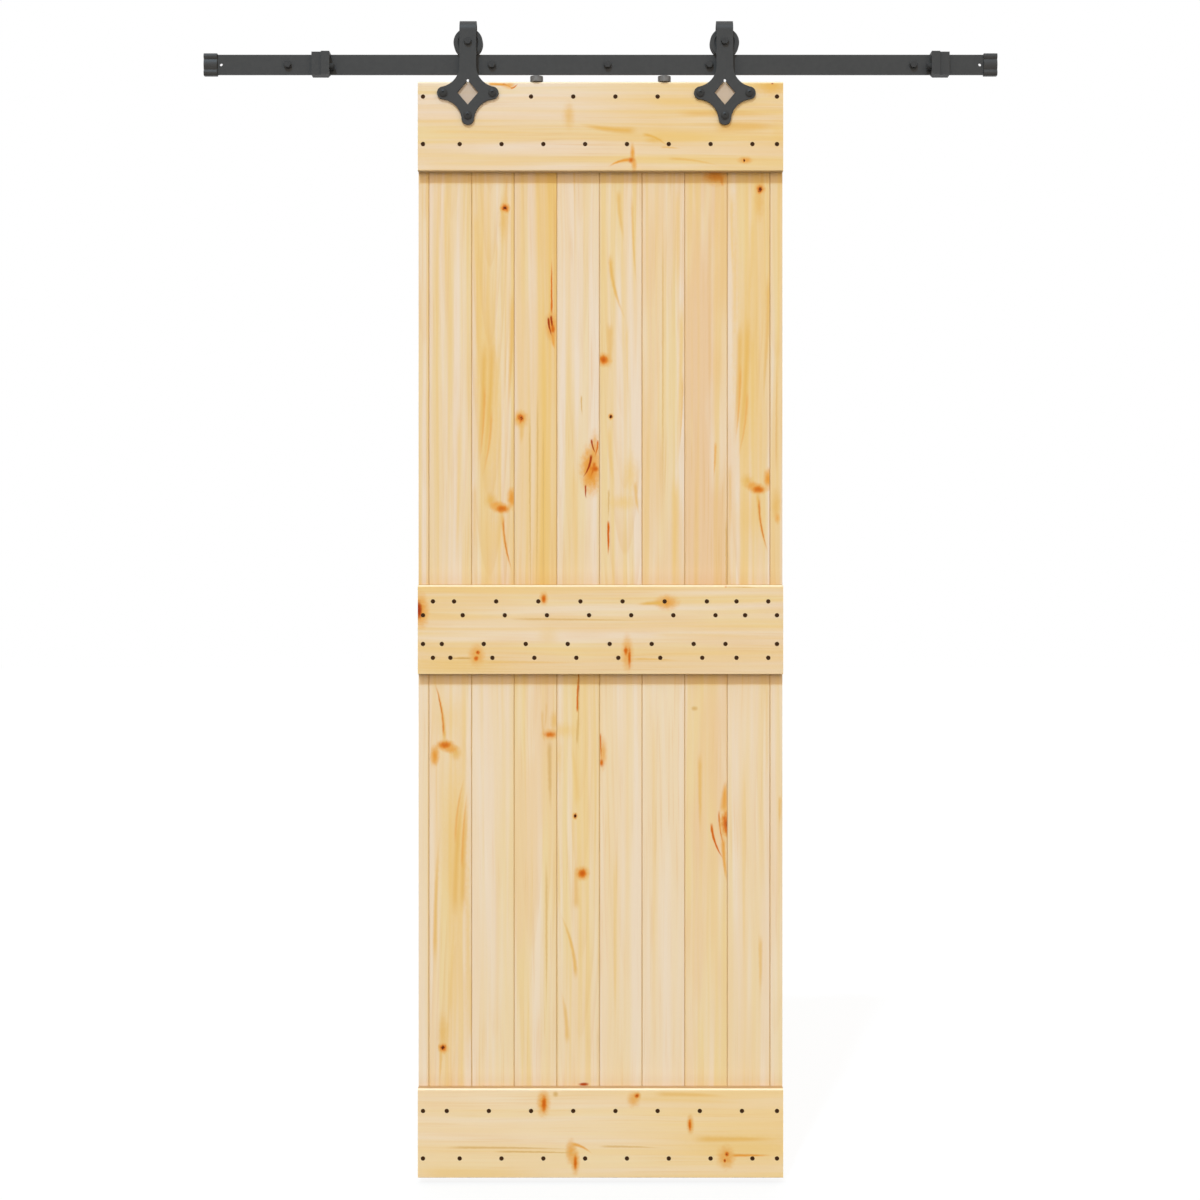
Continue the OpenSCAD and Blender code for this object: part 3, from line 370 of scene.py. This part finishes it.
def paintPine(name, settings):
    material, wire = newMaterial("pine_" + name)
    edge, amount = pine["edge"], pine["amount"]
    low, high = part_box(name)
    lying = name.endswith("batten")
    middle = (low + high) / 2
    seed = settings["seed"] * pine["seedStep"]
    x, depth, z = wire.node("ShaderNodeTexCoord", out="Object").split()
    across, along = (z, x) if lying else (x, z)
    acrossMiddle, alongMiddle = (middle.z, middle.x) if lying else (middle.x, middle.z)

    def spot(right, down):
        return leafLow.x + right * mm, leafHigh.z - down * mm

    def cloud(kind, shift):
        scale, stretch, detail = pine["noise"][kind]
        return wire.noise(wire.vector(across, depth, along * stretch + shift), scale, detail)

    slow, wobble, speckle = (cloud(kind, seed) - 0.5 for kind in ("slow", "wobble", "speckle"))  # about zero
    bent = across + slow * pine["wander"]

    # the grain runs round each knot
    knots = []
    for item in settings["knots"]:
        xAt, zAt = spot(item["right"], item["down"])
        acrossAt, alongAt = (zAt, xAt) if lying else (xAt, zAt)
        aside = across - acrossAt
        onward = (along - alongAt) / item["stretch"]
        reach = aside.far(onward) / (item["radius"] * mm) + wobble * pine["knotFray"]
        halo = 1 - reach.step(*edge["halo"])
        bent = bent - aside * halo * pine["knotPush"]
        knots.append((item, reach, halo))

    def band(kind):
        scale, stretch, shift = pine["band"][kind]
        where = wire.vector(bent + shift, depth, along * stretch + (seed + shift))
        return wire.noise(where, scale, pine["bandDetail"], pine["bandRoughness"])

    patch = band("patch")
    pale = band("pale").step(*edge["pale"]) * (1 - settings["pale"]) + settings["pale"]
    colour = wire.mix(pale, pine["cream"], pine["pale"])
    colour = wire.mix(patch.step(*edge["peach"]) * settings["peach"], colour, pine["peach"])
    honey = band("honey").step(*edge["honey"]) * settings["honey"]
    if settings["side"]:
        start, width, share = settings["side"]
        rim = leafLow.x + start * mm
        ramp = x.step(rim, rim + width * mm) if width > 0 else 1 - x.step(rim + width * mm, rim)
        honey = honey + ramp * (patch * amount["sidePatch"] + amount["side"]) * share
    colour = wire.mix(honey, colour, pine["honey"])

    # growth rings round a pith behind the face; its lean draws the arches
    pithAside, pithDeep = settings["pith"]
    aside = bent - (acrossMiddle + pithAside * mm)
    deep = depth - (low.y + pithDeep * mm) + (along - alongMiddle) * settings["lean"]
    phase = (aside.far(deep) + slow * pine["drift"]) / pine["ringPitch"]
    late = phase.apply("FRACT").between(*edge["late"])
    zone = cloud("zone", seed * 2).step(*edge["zone"])
    ringed = late * (zone * amount["ringZone"] + amount["ring"]) * settings["rings"]
    colour = wire.mix(ringed, colour, pine["ring"])

    fine = band("fine")
    fibre = band("fibre")
    lined = fine.step(*edge["fine"]) * (zone * amount["fineZone"] + amount["fine"])
    colour = wire.mix(lined, colour, pine["ring"])
    colour = wire.mix(fibre.step(*edge["fibre"]) * amount["fibre"], colour, pine["fleck"])

    # painted light: the lower tiers are mixed a little towards the pale sun tone
    tier = name.split("_")[0]
    if tier in pine["paintedLightByTier"]:
        colour = wire.mix(pine["paintedLightByTier"][tier], colour, pine["sun"])

    # resin lies near the front; only the knots run right through
    inFront = 1 - depth.step(middle.y, high.y - pine["resinBack"]) * amount["resinFade"]
    for item in settings["marks"]:
        xAt, zAt = spot(item["right"], item["down"])
        if "wide" in item:
            aside = (x - xAt + slow * pine["drift"]) / (item["wide"] * mm)
            upward = (z - zAt) / (item["high"] * mm)
            mask = 1 - (aside.far(upward) + wobble * pine["blotFray"]).step(*edge["blot"])
        else:
            way = 1 if lying else -1
            acrossAt, alongAt = (zAt, xAt) if lying else (xAt, zAt)
            run = (along - alongAt) / (way * item["length"] * mm)
            bow = run * run * (way * item["bend"] * mm)
            offset = across - acrossAt + bow + wobble * pine["streakFray"]
            taper = pine["streakHead"] - run * pine["streakTaper"]
            half = taper * item["width"] * mm / 2 + pine["streakRim"]
            mask = (1 - (offset.apply("ABSOLUTE") / half).step(*edge["streak"])) * run.between(*edge["run"])
        tint, mask = item["tint"], mask * inFront * item["strength"]
        if tint in underTint:
            spread = (mask * pine["underSpread"]).apply("MINIMUM", 1.0)
            colour = wire.mix(spread, colour, pine[underTint[tint]])
        colour = wire.mix(mask, colour, pine[tint])

    for item, reach, halo in knots:
        colour = wire.mix(halo * amount["knotHoney"], colour, pine["honey"])
        colour = wire.mix(halo * halo * amount["knotAmber"], colour, pine["amber"])
        colour = wire.mix((1 - reach.step(*edge["knotRust"])) * amount["knotRust"], colour, pine["rust"])
        core = pine["heartLeast"] + item["dark"] ** 4 * pine["heartGrowth"]
        heart = 1 - (reach + speckle).step(*(core * part for part in edge["heart"]))
        colour = wire.mix(heart * item["dark"], colour, pine["heart"])

    # painted shade on the wood in the diamond windows of the hangers
    for right, down in settings["shades"]:
        xAt, zAt = spot(right, down)
        aside = (x - xAt).apply("ABSOLUTE") + (z - zAt).apply("ABSOLUTE")
        colour = wire.mix((1 - aside.step(*edge["shade"])) * amount["shade"], colour, pine["shade"])

    # sawn ends are darker; painted highlight and painted shade follow each face's facing and its place
    normalX, normalY, normalZ = wire.node("ShaderNodeNewGeometry", out="Normal").split()
    if lying:
        # darker sawn ends, and painted shade on the battens' flat tops
        sawnAndShaded = normalX.apply("ABSOLUTE").step(*edge["sawnAndShaded"]).apply("MAXIMUM", normalZ.step(*edge["paintedTopShade"]))
        # painted highlight on the battens' upward-facing upper edges
        colour = wire.mix(normalZ.between(*edge["arrisHighlight"]) * amount["paintedHighlight"], colour, pine["arrisHighlight"])
    else:
        # planks: only the sawn ends are darker
        sawnAndShaded = normalZ.apply("ABSOLUTE").step(*edge["sawnAndShaded"])
        upper = name.startswith("upper")
        over, under = ("top_batten", "middle_batten") if upper else ("middle_batten", "bottom_batten")
        front = 1 - normalY.step(*edge["front"])
        # a warm painted shadow on the planks below each batten
        paintedShadowTint = 1 - (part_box(over)[0].z - z).step(*edge["paintedShadowTint"])
        colour = wire.mix(paintedShadowTint * front * amount["paintedShadowTint"], colour, pine["gold"])
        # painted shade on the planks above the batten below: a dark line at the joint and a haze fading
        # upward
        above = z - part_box(under)[1].z
        paintedShadeAbove = ((1 - above.step(*edge["paintedShadeLine"])) * amount["paintedShadeLine"]
                + (1 - above.step(*edge["paintedShadeHaze"])) * amount["paintedShadeHaze"])
        colour = wire.mix(paintedShadeAbove * front, colour, pine["paintedShadeAbove"])
        seam = normalX.apply("ABSOLUTE").between(*edge["seam"])
        colour = wire.mix(seam * amount["seam"], colour, pine["seam"])
    # sawn ends, and on the battens the painted shade of the flat tops, take the end tone
    colour = wire.mix(sawnAndShaded * amount["sawnAndShaded"], colour, pine["end"])

    height = fibre * pine["fibreRelief"] + fine * pine["fineRelief"] + late * pine["lateRelief"]
    bump = wire.node("ShaderNodeBump", None, {
        "Strength": pine["bump"], "Distance": pine["grainDepth"], "Height": height})
    closeMaterial(wire, {"Base Color": colour, "Roughness": pine["roughness"] + fibre * pine["roughSpread"],
                         "Normal": bump, "Specular IOR Level": pine["sheen"]})
    return material


for name, settings in boards.items():
    dress(nodes[name], paintPine(name, settings))
print("pine:", len(boards), "boards")

# Metals, plastic and rubber: two tones, the size of their grain, and their gloss
finishes = {
    "coated_steel": {
        "base": tone(57, 56, 55), "worn": tone(61, 60, 59), "grain": 0.5 * mm, "mottle": 9 * mm,
        "rough": 0.48, "spread": 0.14, "metallic": 0.0, "relief": 0.025 * mm},
    "cap_plastic": {
        "base": tone(55, 53, 51), "worn": tone(61, 59, 57), "grain": 0.35 * mm, "mottle": 14 * mm,
        "rough": 0.42, "spread": 0.18, "metallic": 0.0, "relief": 0.02 * mm},
    "black_fastener": {
        "base": tone(54, 53, 52), "worn": tone(61, 60, 59), "grain": 0.8 * mm, "mottle": 3 * mm,
        "rough": 0.38, "spread": 0.2, "metallic": 0.35, "relief": 0.02 * mm},
    "bronze_screw": {
        "base": tone(62, 36, 10), "worn": tone(86, 52, 18), "grain": 0.5 * mm, "mottle": 2 * mm,
        "rough": 0.4, "spread": 0.2, "metallic": 0.5, "relief": 0.02 * mm},
    "bright_steel": {
        "base": tone(176, 177, 180), "worn": tone(198, 199, 200), "grain": 0.6 * mm, "mottle": 4 * mm,
        "rough": 0.28, "spread": 0.2, "metallic": 1.0, "relief": 0.01 * mm},
    "disc_steel": {
        "base": tone(112, 109, 106), "worn": tone(128, 125, 122), "grain": 0.5 * mm, "mottle": 5 * mm,
        "rough": 0.34, "spread": 0.16, "metallic": 0.6, "relief": 0.02 * mm},
    "rubber": {
        "base": tone(40, 40, 40), "worn": tone(50, 50, 50), "grain": 0.4 * mm, "mottle": 2.5 * mm,
        "rough": 0.7, "spread": 0.2, "metallic": 0.0, "relief": 0.03 * mm},
}

# What all finishes share: how far mottle and grain each go into wear, gloss and relief
coat = {"mottleDetail": 3.0, "grainDetail": 2.0, "grainRoughness": 0.6,
        "mottleEdge": (0.35, 0.65), "grainEdge": (0.55, 0.75), "mottleWear": 0.6, "grainWear": 0.4,
        "mottleGloss": 0.4, "grainGloss": 0.6, "mottleRelief": 0.3, "grainRelief": 0.7,
        "bump": 0.6, "sheen": 0.35}


def paintFinish(name, settings):
    material, wire = newMaterial(name)
    place = wire.node("ShaderNodeTexCoord", out="Object")
    grain = wire.noise(place, 1 / settings["grain"], coat["grainDetail"], coat["grainRoughness"])
    mottle = wire.noise(place, 1 / settings["mottle"], coat["mottleDetail"])
    wear = (mottle.step(*coat["mottleEdge"]) * coat["mottleWear"]
            + grain.step(*coat["grainEdge"]) * coat["grainWear"])
    colour = wire.mix(wear, settings["base"], settings["worn"])
    gloss = grain * coat["grainGloss"] + mottle * coat["mottleGloss"]
    rough = settings["rough"] + gloss * settings["spread"]
    height = grain * coat["grainRelief"] + mottle * coat["mottleRelief"]
    bump = wire.node("ShaderNodeBump", None, {
        "Strength": coat["bump"], "Distance": settings["relief"], "Height": height})
    closeMaterial(wire, {"Base Color": colour, "Roughness": rough, "Metallic": settings["metallic"],
                         "Normal": bump, "Specular IOR Level": coat["sheen"]})
    return material


paints = {name: paintFinish(name, settings) for name, settings in finishes.items()}
slotOf = {entry["node"]: entry["material_slot"] for entry in frame["record"]["subparts"]}
for name, slotName in slotOf.items():
    if slotName != "pine":
        dress(nodes[name], paints[slotName])
print("finishes:", ", ".join(paints))


def addPiece(name, mesh, slotName, *replaced):
    piece = bpy.data.objects.new(name, mesh)
    bpy.context.scene.collection.objects.link(piece)
    dress(piece, paints[slotName])
    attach(piece, bodyOf[replaced[0]])
    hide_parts(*replaced)
    return piece


def bake(obj):
    # the evaluated shape as a plain mesh; the helper object goes
    bpy.context.view_layer.update()
    depsgraph = bpy.context.evaluated_depsgraph_get()
    mesh = bpy.data.meshes.new_from_object(obj.evaluated_get(depsgraph), depsgraph=depsgraph)
    bpy.data.objects.remove(obj)
    return mesh


# Eased edges: the radius, in metres, that the steel and plastic pieces get on their sharp edges
eased = {
    "rail": 0.5 * mm, "left_hanger_strap": 0.6 * mm, "right_hanger_strap": 0.6 * mm,
    "left_stop_block": 0.8 * mm, "right_stop_block": 0.8 * mm,
    "left_end_cap": 0.6 * mm, "right_end_cap": 0.6 * mm,
    "left_lift_disc": 0.6 * mm, "right_lift_disc": 0.6 * mm,
    "left_wheel": 0.4 * mm, "right_wheel": 0.4 * mm,
}
easing = {"flat": math.radians(1), "sharp": math.radians(32), "segments": 2}


def easedMesh(name, radius):
    mesh = nodes[name].data.copy()
    shape = bmesh.new()
    shape.from_mesh(mesh)
    bmesh.ops.remove_doubles(shape, verts=shape.verts, dist=mergeGap)
    bmesh.ops.dissolve_limit(shape, angle_limit=easing["flat"], verts=shape.verts, edges=shape.edges)
    for face in shape.faces:
        face.smooth = True
    shape.to_mesh(mesh)
    shape.free()
    helper = bpy.data.objects.new(name + "_helper", mesh)
    bpy.context.scene.collection.objects.link(helper)
    bevel = helper.modifiers.new("ease", "BEVEL")
    bevel.width = radius
    bevel.segments = easing["segments"]
    bevel.limit_method = "ANGLE"
    bevel.angle_limit = easing["sharp"]
    bevel.harden_normals = False
    weighted = helper.modifiers.new("shade", "WEIGHTED_NORMAL")
    weighted.keep_sharp = True
    return bake(helper)


for name, radius in eased.items():
    piece = addPiece("eased_" + name, easedMesh(name, radius), slotOf[name], name)
    if "disc" in name:
        dress(piece, paints["disc_steel"])
print("eased:", len(eased), "pieces")


def islands(*names):
    # the boxes of the loose solids in these nodes
    boxes = []
    for name in names:
        shape = bmesh.new()
        shape.from_mesh(nodes[name].data)
        bmesh.ops.remove_doubles(shape, verts=shape.verts, dist=mergeGap)
        left = set(shape.verts)
        while left:
            front, group = [left.pop()], []
            while front:
                vert = front.pop()
                group.append(vert.co.copy())
                near = [edge.other_vert(vert) for edge in vert.link_edges]
                fresh = [other for other in near if other in left]
                left.difference_update(fresh)
                front.extend(fresh)
            boxes.append(tuple(Vector(pick(co[i] for co in group) for i in range(3)) for pick in (min, max)))
        shape.free()
    return boxes


def newTree(name, inputs):
    tree = bpy.data.node_groups.new(name, "GeometryNodeTree")
    tree.interface.new_socket("Centres", in_out="INPUT", socket_type="NodeSocketGeometry")
    for label in inputs:
        tree.interface.new_socket(label, in_out="INPUT", socket_type="NodeSocketFloat")
    tree.interface.new_socket("Fasteners", in_out="OUTPUT", socket_type="NodeSocketGeometry")
    start = tree.nodes.new("NodeGroupInput")
    return Wire(tree), {socket.name: Wire(tree, socket) for socket in start.outputs if socket.name}


def moved(wire, shape, offset):
    return wire.node("GeometryNodeTransform", None, {
        "Geometry": shape, "Translation": wire.vector(0.0, 0.0, offset)})


thread = {"rowsPerTurn": 4, "spareRows": 6, "mergeGap": 0.004 * mm}


def threadBarrel(wire, start, length, crest, depth, turns, tip, point, around):
    # a grid wrapped round +Z: its rows climb one pitch a turn, and one row in each turn's set is the crest
    perTurn = thread["rowsPerTurn"]
    rows = turns * perTurn + thread["spareRows"]
    grid = wire.node("GeometryNodeMeshGrid", None,
                     {"Size X": 1.0, "Size Y": 1.0, "Vertices X": around + 1, "Vertices Y": rows})
    x, y = wire.node("GeometryNodeInputPosition").split()[:2]
    turn = x + 0.5
    row = ((y + 0.5) * (rows - 1)).apply("ROUND")
    pitch = length / turns
    climb = ((row / perTurn + turn - 1) * pitch).apply("MAXIMUM", 0.0).apply("MINIMUM", length)
    wave = 1 - ((row / perTurn).apply("FRACT") * 2 - 1).apply("ABSOLUTE")
    fade = climb.between(0.0, pitch, length - tip, length)
    taper = ((length - climb) / tip).apply("MINIMUM", 1.0) * (1 - point) + point
    inside = row.apply("GREATER_THAN", 0.5) * row.apply("LESS_THAN", rows - 1.5)
    radius = (crest - depth + wave * fade * depth) * taper * inside
    angle = turn * math.tau
    place = wire.vector(angle.apply("COSINE") * radius, angle.apply("SINE") * radius, climb + start)
    barrel = wire.node("GeometryNodeSetPosition", None, {"Geometry": grid, "Position": place})
    return wire.node("GeometryNodeMergeByDistance", None, {
        "Geometry": barrel, "Distance": thread["mergeGap"]})


# copies the shape to every centre, each turned by up to the given angle from a fixed seed
def closeTree(wire, given, parts, turnedBy, material, seed=7):
    shape = wire.node("GeometryNodeJoinGeometry", None, {"Geometry": parts})
    spin = wire.node("FunctionNodeRandomValue", {"data_type": "FLOAT"},
                     {2: 0.0, 3: turnedBy, "Seed": seed}, out=1)
    copies = wire.node("GeometryNodeInstanceOnPoints", None, {
        "Points": given["Centres"], "Instance": shape, "Rotation": wire.vector(-math.pi / 2, spin, 0.0)})
    real = wire.node("GeometryNodeRealizeInstances", None, {"Geometry": copies})
    painted = wire.node("GeometryNodeSetMaterial", None, {"Geometry": real, "Material": material})
    output = wire.tree.nodes.new("NodeGroupOutput")
    wire.tree.links.new(painted.socket, output.inputs[0])


# Wood screw: shares of its head's radius and height, of its shank's radius, and of the thread's diameter
screwShape = {"sides": 32, "slotWide": 0.3, "slotLong": 1.15, "slotDeep": 1.2, "threadFrom": 0.95,
              "threadDeep": 0.3, "tip": 1.6, "point": 0.15, "around": 16}


def screwTree(name, material):
    wire, given = newTree(name, ("Length", "Head Diameter", "Head Height", "Thread Diameter", "Turns"))
    headRadius, shank = given["Head Diameter"] / 2, given["Thread Diameter"] / 2
    head = wire.node("GeometryNodeMeshCone", None, {
        "Vertices": screwShape["sides"], "Radius Bottom": headRadius, "Radius Top": shank,
        "Depth": given["Head Height"]})
    slots = []
    for wide, long in (("slotWide", "slotLong"), ("slotLong", "slotWide")):
        size = wire.vector(headRadius * screwShape[wide], headRadius * screwShape[long],
                           given["Head Height"] * screwShape["slotDeep"])
        slots.append(wire.node("GeometryNodeMeshCube", None, {"Size": size}))
    head = wire.node("GeometryNodeMeshBoolean", {"operation": "DIFFERENCE", "solver": "EXACT"},
                     {"Mesh 1": head, "Mesh 2": slots})
    start = given["Head Height"] * screwShape["threadFrom"]
    barrel = threadBarrel(wire, start, given["Length"] - start, shank, shank * screwShape["threadDeep"],
                          given["Turns"], given["Thread Diameter"] * screwShape["tip"],
                          screwShape["point"], screwShape["around"])
    closeTree(wire, given, [head, barrel], math.tau, material)
    return wire.tree


# Hexagon bolt: shares of its flats, of its head's height and of its thread's radius
boltShape = {"chamferSides": 48, "shankSides": 32, "face": 0.475, "chamferDeep": 1.1, "overlap": 0.2,
             "shankReach": 1.25, "threadDeep": 0.16, "around": 32}


def boltTree(name, material):
    wire, given = newTree(name, ("Across Flats", "Head Height", "Shank Diameter", "Thread Start", "Length",
                                 "Thread Diameter", "Turns", "Tip", "Point"))
    flats, headHeight, start = given["Across Flats"], given["Head Height"], given["Thread Start"]
    blank = wire.node("GeometryNodeMeshCylinder", None, {
        "Vertices": 6, "Radius": flats / math.sqrt(3), "Depth": headHeight * 2})
    face = flats * boltShape["face"]
    chamfer = wire.node("GeometryNodeMeshCone", None, {
        "Vertices": boltShape["chamferSides"], "Radius Bottom": face,
        "Radius Top": face + headHeight * math.sqrt(3), "Depth": headHeight * boltShape["chamferDeep"]})
    head = wire.node("GeometryNodeMeshBoolean", {"operation": "INTERSECT", "solver": "EXACT"},
                     {"Mesh 2": [blank, chamfer]})
    overlap = headHeight * boltShape["overlap"]
    shankLength = start - headHeight + overlap * boltShape["shankReach"]
    shank = wire.node("GeometryNodeMeshCylinder", None, {
        "Vertices": boltShape["shankSides"], "Radius": given["Shank Diameter"] / 2, "Depth": shankLength})
    shank = moved(wire, shank, headHeight - overlap + shankLength / 2)
    crest = given["Thread Diameter"] / 2
    barrel = threadBarrel(wire, start, given["Length"] - start, crest, crest * boltShape["threadDeep"],
                          given["Turns"], given["Tip"], given["Point"], boltShape["around"])
    closeTree(wire, given, [head, shank, barrel], 0.0, material)
    return wire.tree


sharpAngle = math.radians(28)  # fasteners' edges past this stay crisp


def addFasteners(name, tree, settings, slotName, *replaced):
    spots = [((low.x + high.x) / 2, low.y, (low.z + high.z) / 2) for low, high in islands(*replaced)]
    # a fixed order, because each centre draws its own turn
    spots.sort(key=lambda place: (round(place[2], 4), round(place[0], 4)))
    mesh = bpy.data.meshes.new(name + "_centres")
    mesh.from_pydata(spots, [], [])
    helper = bpy.data.objects.new(name + "_helper", mesh)
    bpy.context.scene.collection.objects.link(helper)
    modifier = helper.modifiers.new("fasteners", "NODES")
    entries = [item for item in tree.interface.items_tree if item.in_out == "INPUT"]
    identifiers = {item.name: item.identifier for item in entries}
    for label, value in settings.items():
        tree.interface.items_tree[label].default_value = value
    modifier.node_group = tree
    for label, value in settings.items():
        modifier[identifiers[label]] = float(value)
    made = bake(helper)
    shape = bmesh.new()
    shape.from_mesh(made)
    bmesh.ops.recalc_face_normals(shape, faces=shape.faces)
    shape.to_mesh(made)
    shape.free()
    made.shade_smooth()
    made.set_sharp_from_angle(angle=sharpAngle)
    addPiece(name, made, slotName, *replaced)
    print(name + ":", len(spots), "pieces,", len(made.polygons), "faces")


# Wood screws through the battens, in metres
woodScrews = {"Length": 31 * mm, "Head Diameter": 8.4 * mm, "Head Height": 3 * mm,
              "Thread Diameter": 3.8 * mm, "Turns": 14}
addFasteners("batten_screws", screwTree("wood_screw", paints["bronze_screw"]), woodScrews, "bronze_screw",
             "top_batten_screws", "middle_batten_screws", "bottom_batten_screws")

# Coach bolts that hold the rail to a wall
wallBolts = {"Across Flats": 12.8 * mm, "Head Height": 5.5 * mm, "Shank Diameter": 7.2 * mm,
             "Thread Start": 48.1 * mm, "Length": 75.5 * mm, "Thread Diameter": 8 * mm, "Turns": 9,
             "Tip": 8 * mm, "Point": 0.12}
addFasteners("wall_bolts", boltTree("coach_bolt", paints["black_fastener"]), wallBolts, "black_fastener",
             "rail_lag_bolts")

# Axle bolts: a plain shank under the wheel and a thread for the nut
axleBolts = {"Across Flats": 12.8 * mm, "Head Height": 5.3 * mm, "Shank Diameter": 8 * mm,
             "Thread Start": 45 * mm, "Length": 54.9 * mm, "Thread Diameter": 8 * mm, "Turns": 8,
             "Tip": 1 * mm, "Point": 0.86}
addFasteners("axle_bolts_threaded", boltTree("axle_bolt", paints["black_fastener"]), axleBolts,
             "black_fastener", "axle_bolts")

# Studio: a sun from the upper left, fill light from the front, around and behind, and a pale floor
studio = {"sunTravel": Vector((0.25, 1.0, -1.14)), "sunPower": 1.26, "sunTint": (0.7, 1.0, 1.28),
          "sunAngle": 2.5,
          "front": (2.34, 2.06, 1.7, 1.0), "around": (0.37, 0.35, 0.32, 1.0), "back": (2.35, 2.38, 2.4, 1.0),
          "floor": tone(246, 246, 246), "bounce": (0.135, 0.135, 0.135, 1.0), "glow": 1.0, "floorGlow": 0.85,
          "floorGap": 12 * mm, "floorSize": 60.0,
          "camera": (-0.96 * mm, -4.053, -1.0286), "lens": 62.65}


def buildWorld():
    world = bpy.data.worlds.new("studio")
    bpy.context.scene.world = world
    world.use_nodes = True
    world.node_tree.nodes.clear()
    wire = Wire(world.node_tree)
    path = wire.node("ShaderNodeLightPath", out="Is Camera Ray")
    seen = path.apply("MAXIMUM", path.pick("Is Glossy Ray"))
    seen = seen.apply("MAXIMUM", path.pick("Is Transmission Ray"))
    toward = wire.node("ShaderNodeTexCoord", out="Generated").split()[1]
    ahead = (0.0 - toward).apply("MAXIMUM", 0.0)
    fill = wire.mix(ahead * ahead, studio["around"], studio["front"])
    fill = wire.mix(toward.apply("MAXIMUM", 0.0), fill, studio["back"])
    light = wire.node("ShaderNodeBackground", None, {"Color": wire.mix(seen, fill, white)})
    wire.node("ShaderNodeOutputWorld", None, {"Surface": light})


def buildFloor():
    half = studio["floorSize"] / 2
    mesh = bpy.data.meshes.new("floor")
    corners = [(-half, -half, 0), (half, -half, 0), (half, half, 0), (-half, half, 0)]
    mesh.from_pydata(corners, [], [(0, 1, 2, 3)])
    mesh.transform(Matrix.Translation((0, 0, leafFoot - studio["floorGap"])))
    floor = bpy.data.objects.new("floor", mesh)
    bpy.context.scene.collection.objects.link(floor)
    material, wire = newMaterial("floor")
    path = wire.node("ShaderNodeLightPath", out="Is Camera Ray")
    seen = path.apply("MAXIMUM", path.pick("Is Glossy Ray"))
    shown = wire.mix(seen, studio["bounce"], studio["floor"])
    matt = wire.node("ShaderNodeBsdfDiffuse", None, {"Color": shown})
    glow = wire.node("ShaderNodeEmission", None, {"Color": white, "Strength": studio["glow"]})
    both = wire.node("ShaderNodeMixShader", None, {0: seen * studio["floorGlow"], 1: matt, 2: glow})
    wire.node("ShaderNodeOutputMaterial", None, {"Surface": both})
    dress(floor, material)


def buildLightAndCamera():
    lamp = bpy.data.lights.new("sun", "SUN")
    lamp.energy = studio["sunPower"]
    lamp.color = studio["sunTint"]
    lamp.angle = math.radians(studio["sunAngle"])
    sun = bpy.data.objects.new("sun", lamp)
    sun.rotation_euler = studio["sunTravel"].to_track_quat("-Z", "Y").to_euler()
    bpy.context.scene.collection.objects.link(sun)
    lens = bpy.data.cameras.new("camera")
    lens.lens = studio["lens"]
    camera = bpy.data.objects.new("camera", lens)
    camera.location = studio["camera"]
    camera.rotation_euler = (math.pi / 2, 0, 0)
    bpy.context.scene.collection.objects.link(camera)
    bpy.context.scene.camera = camera


buildWorld()
buildFloor()
buildLightAndCamera()
bpy.context.scene.view_settings.view_transform = "Standard"
print("studio ready")
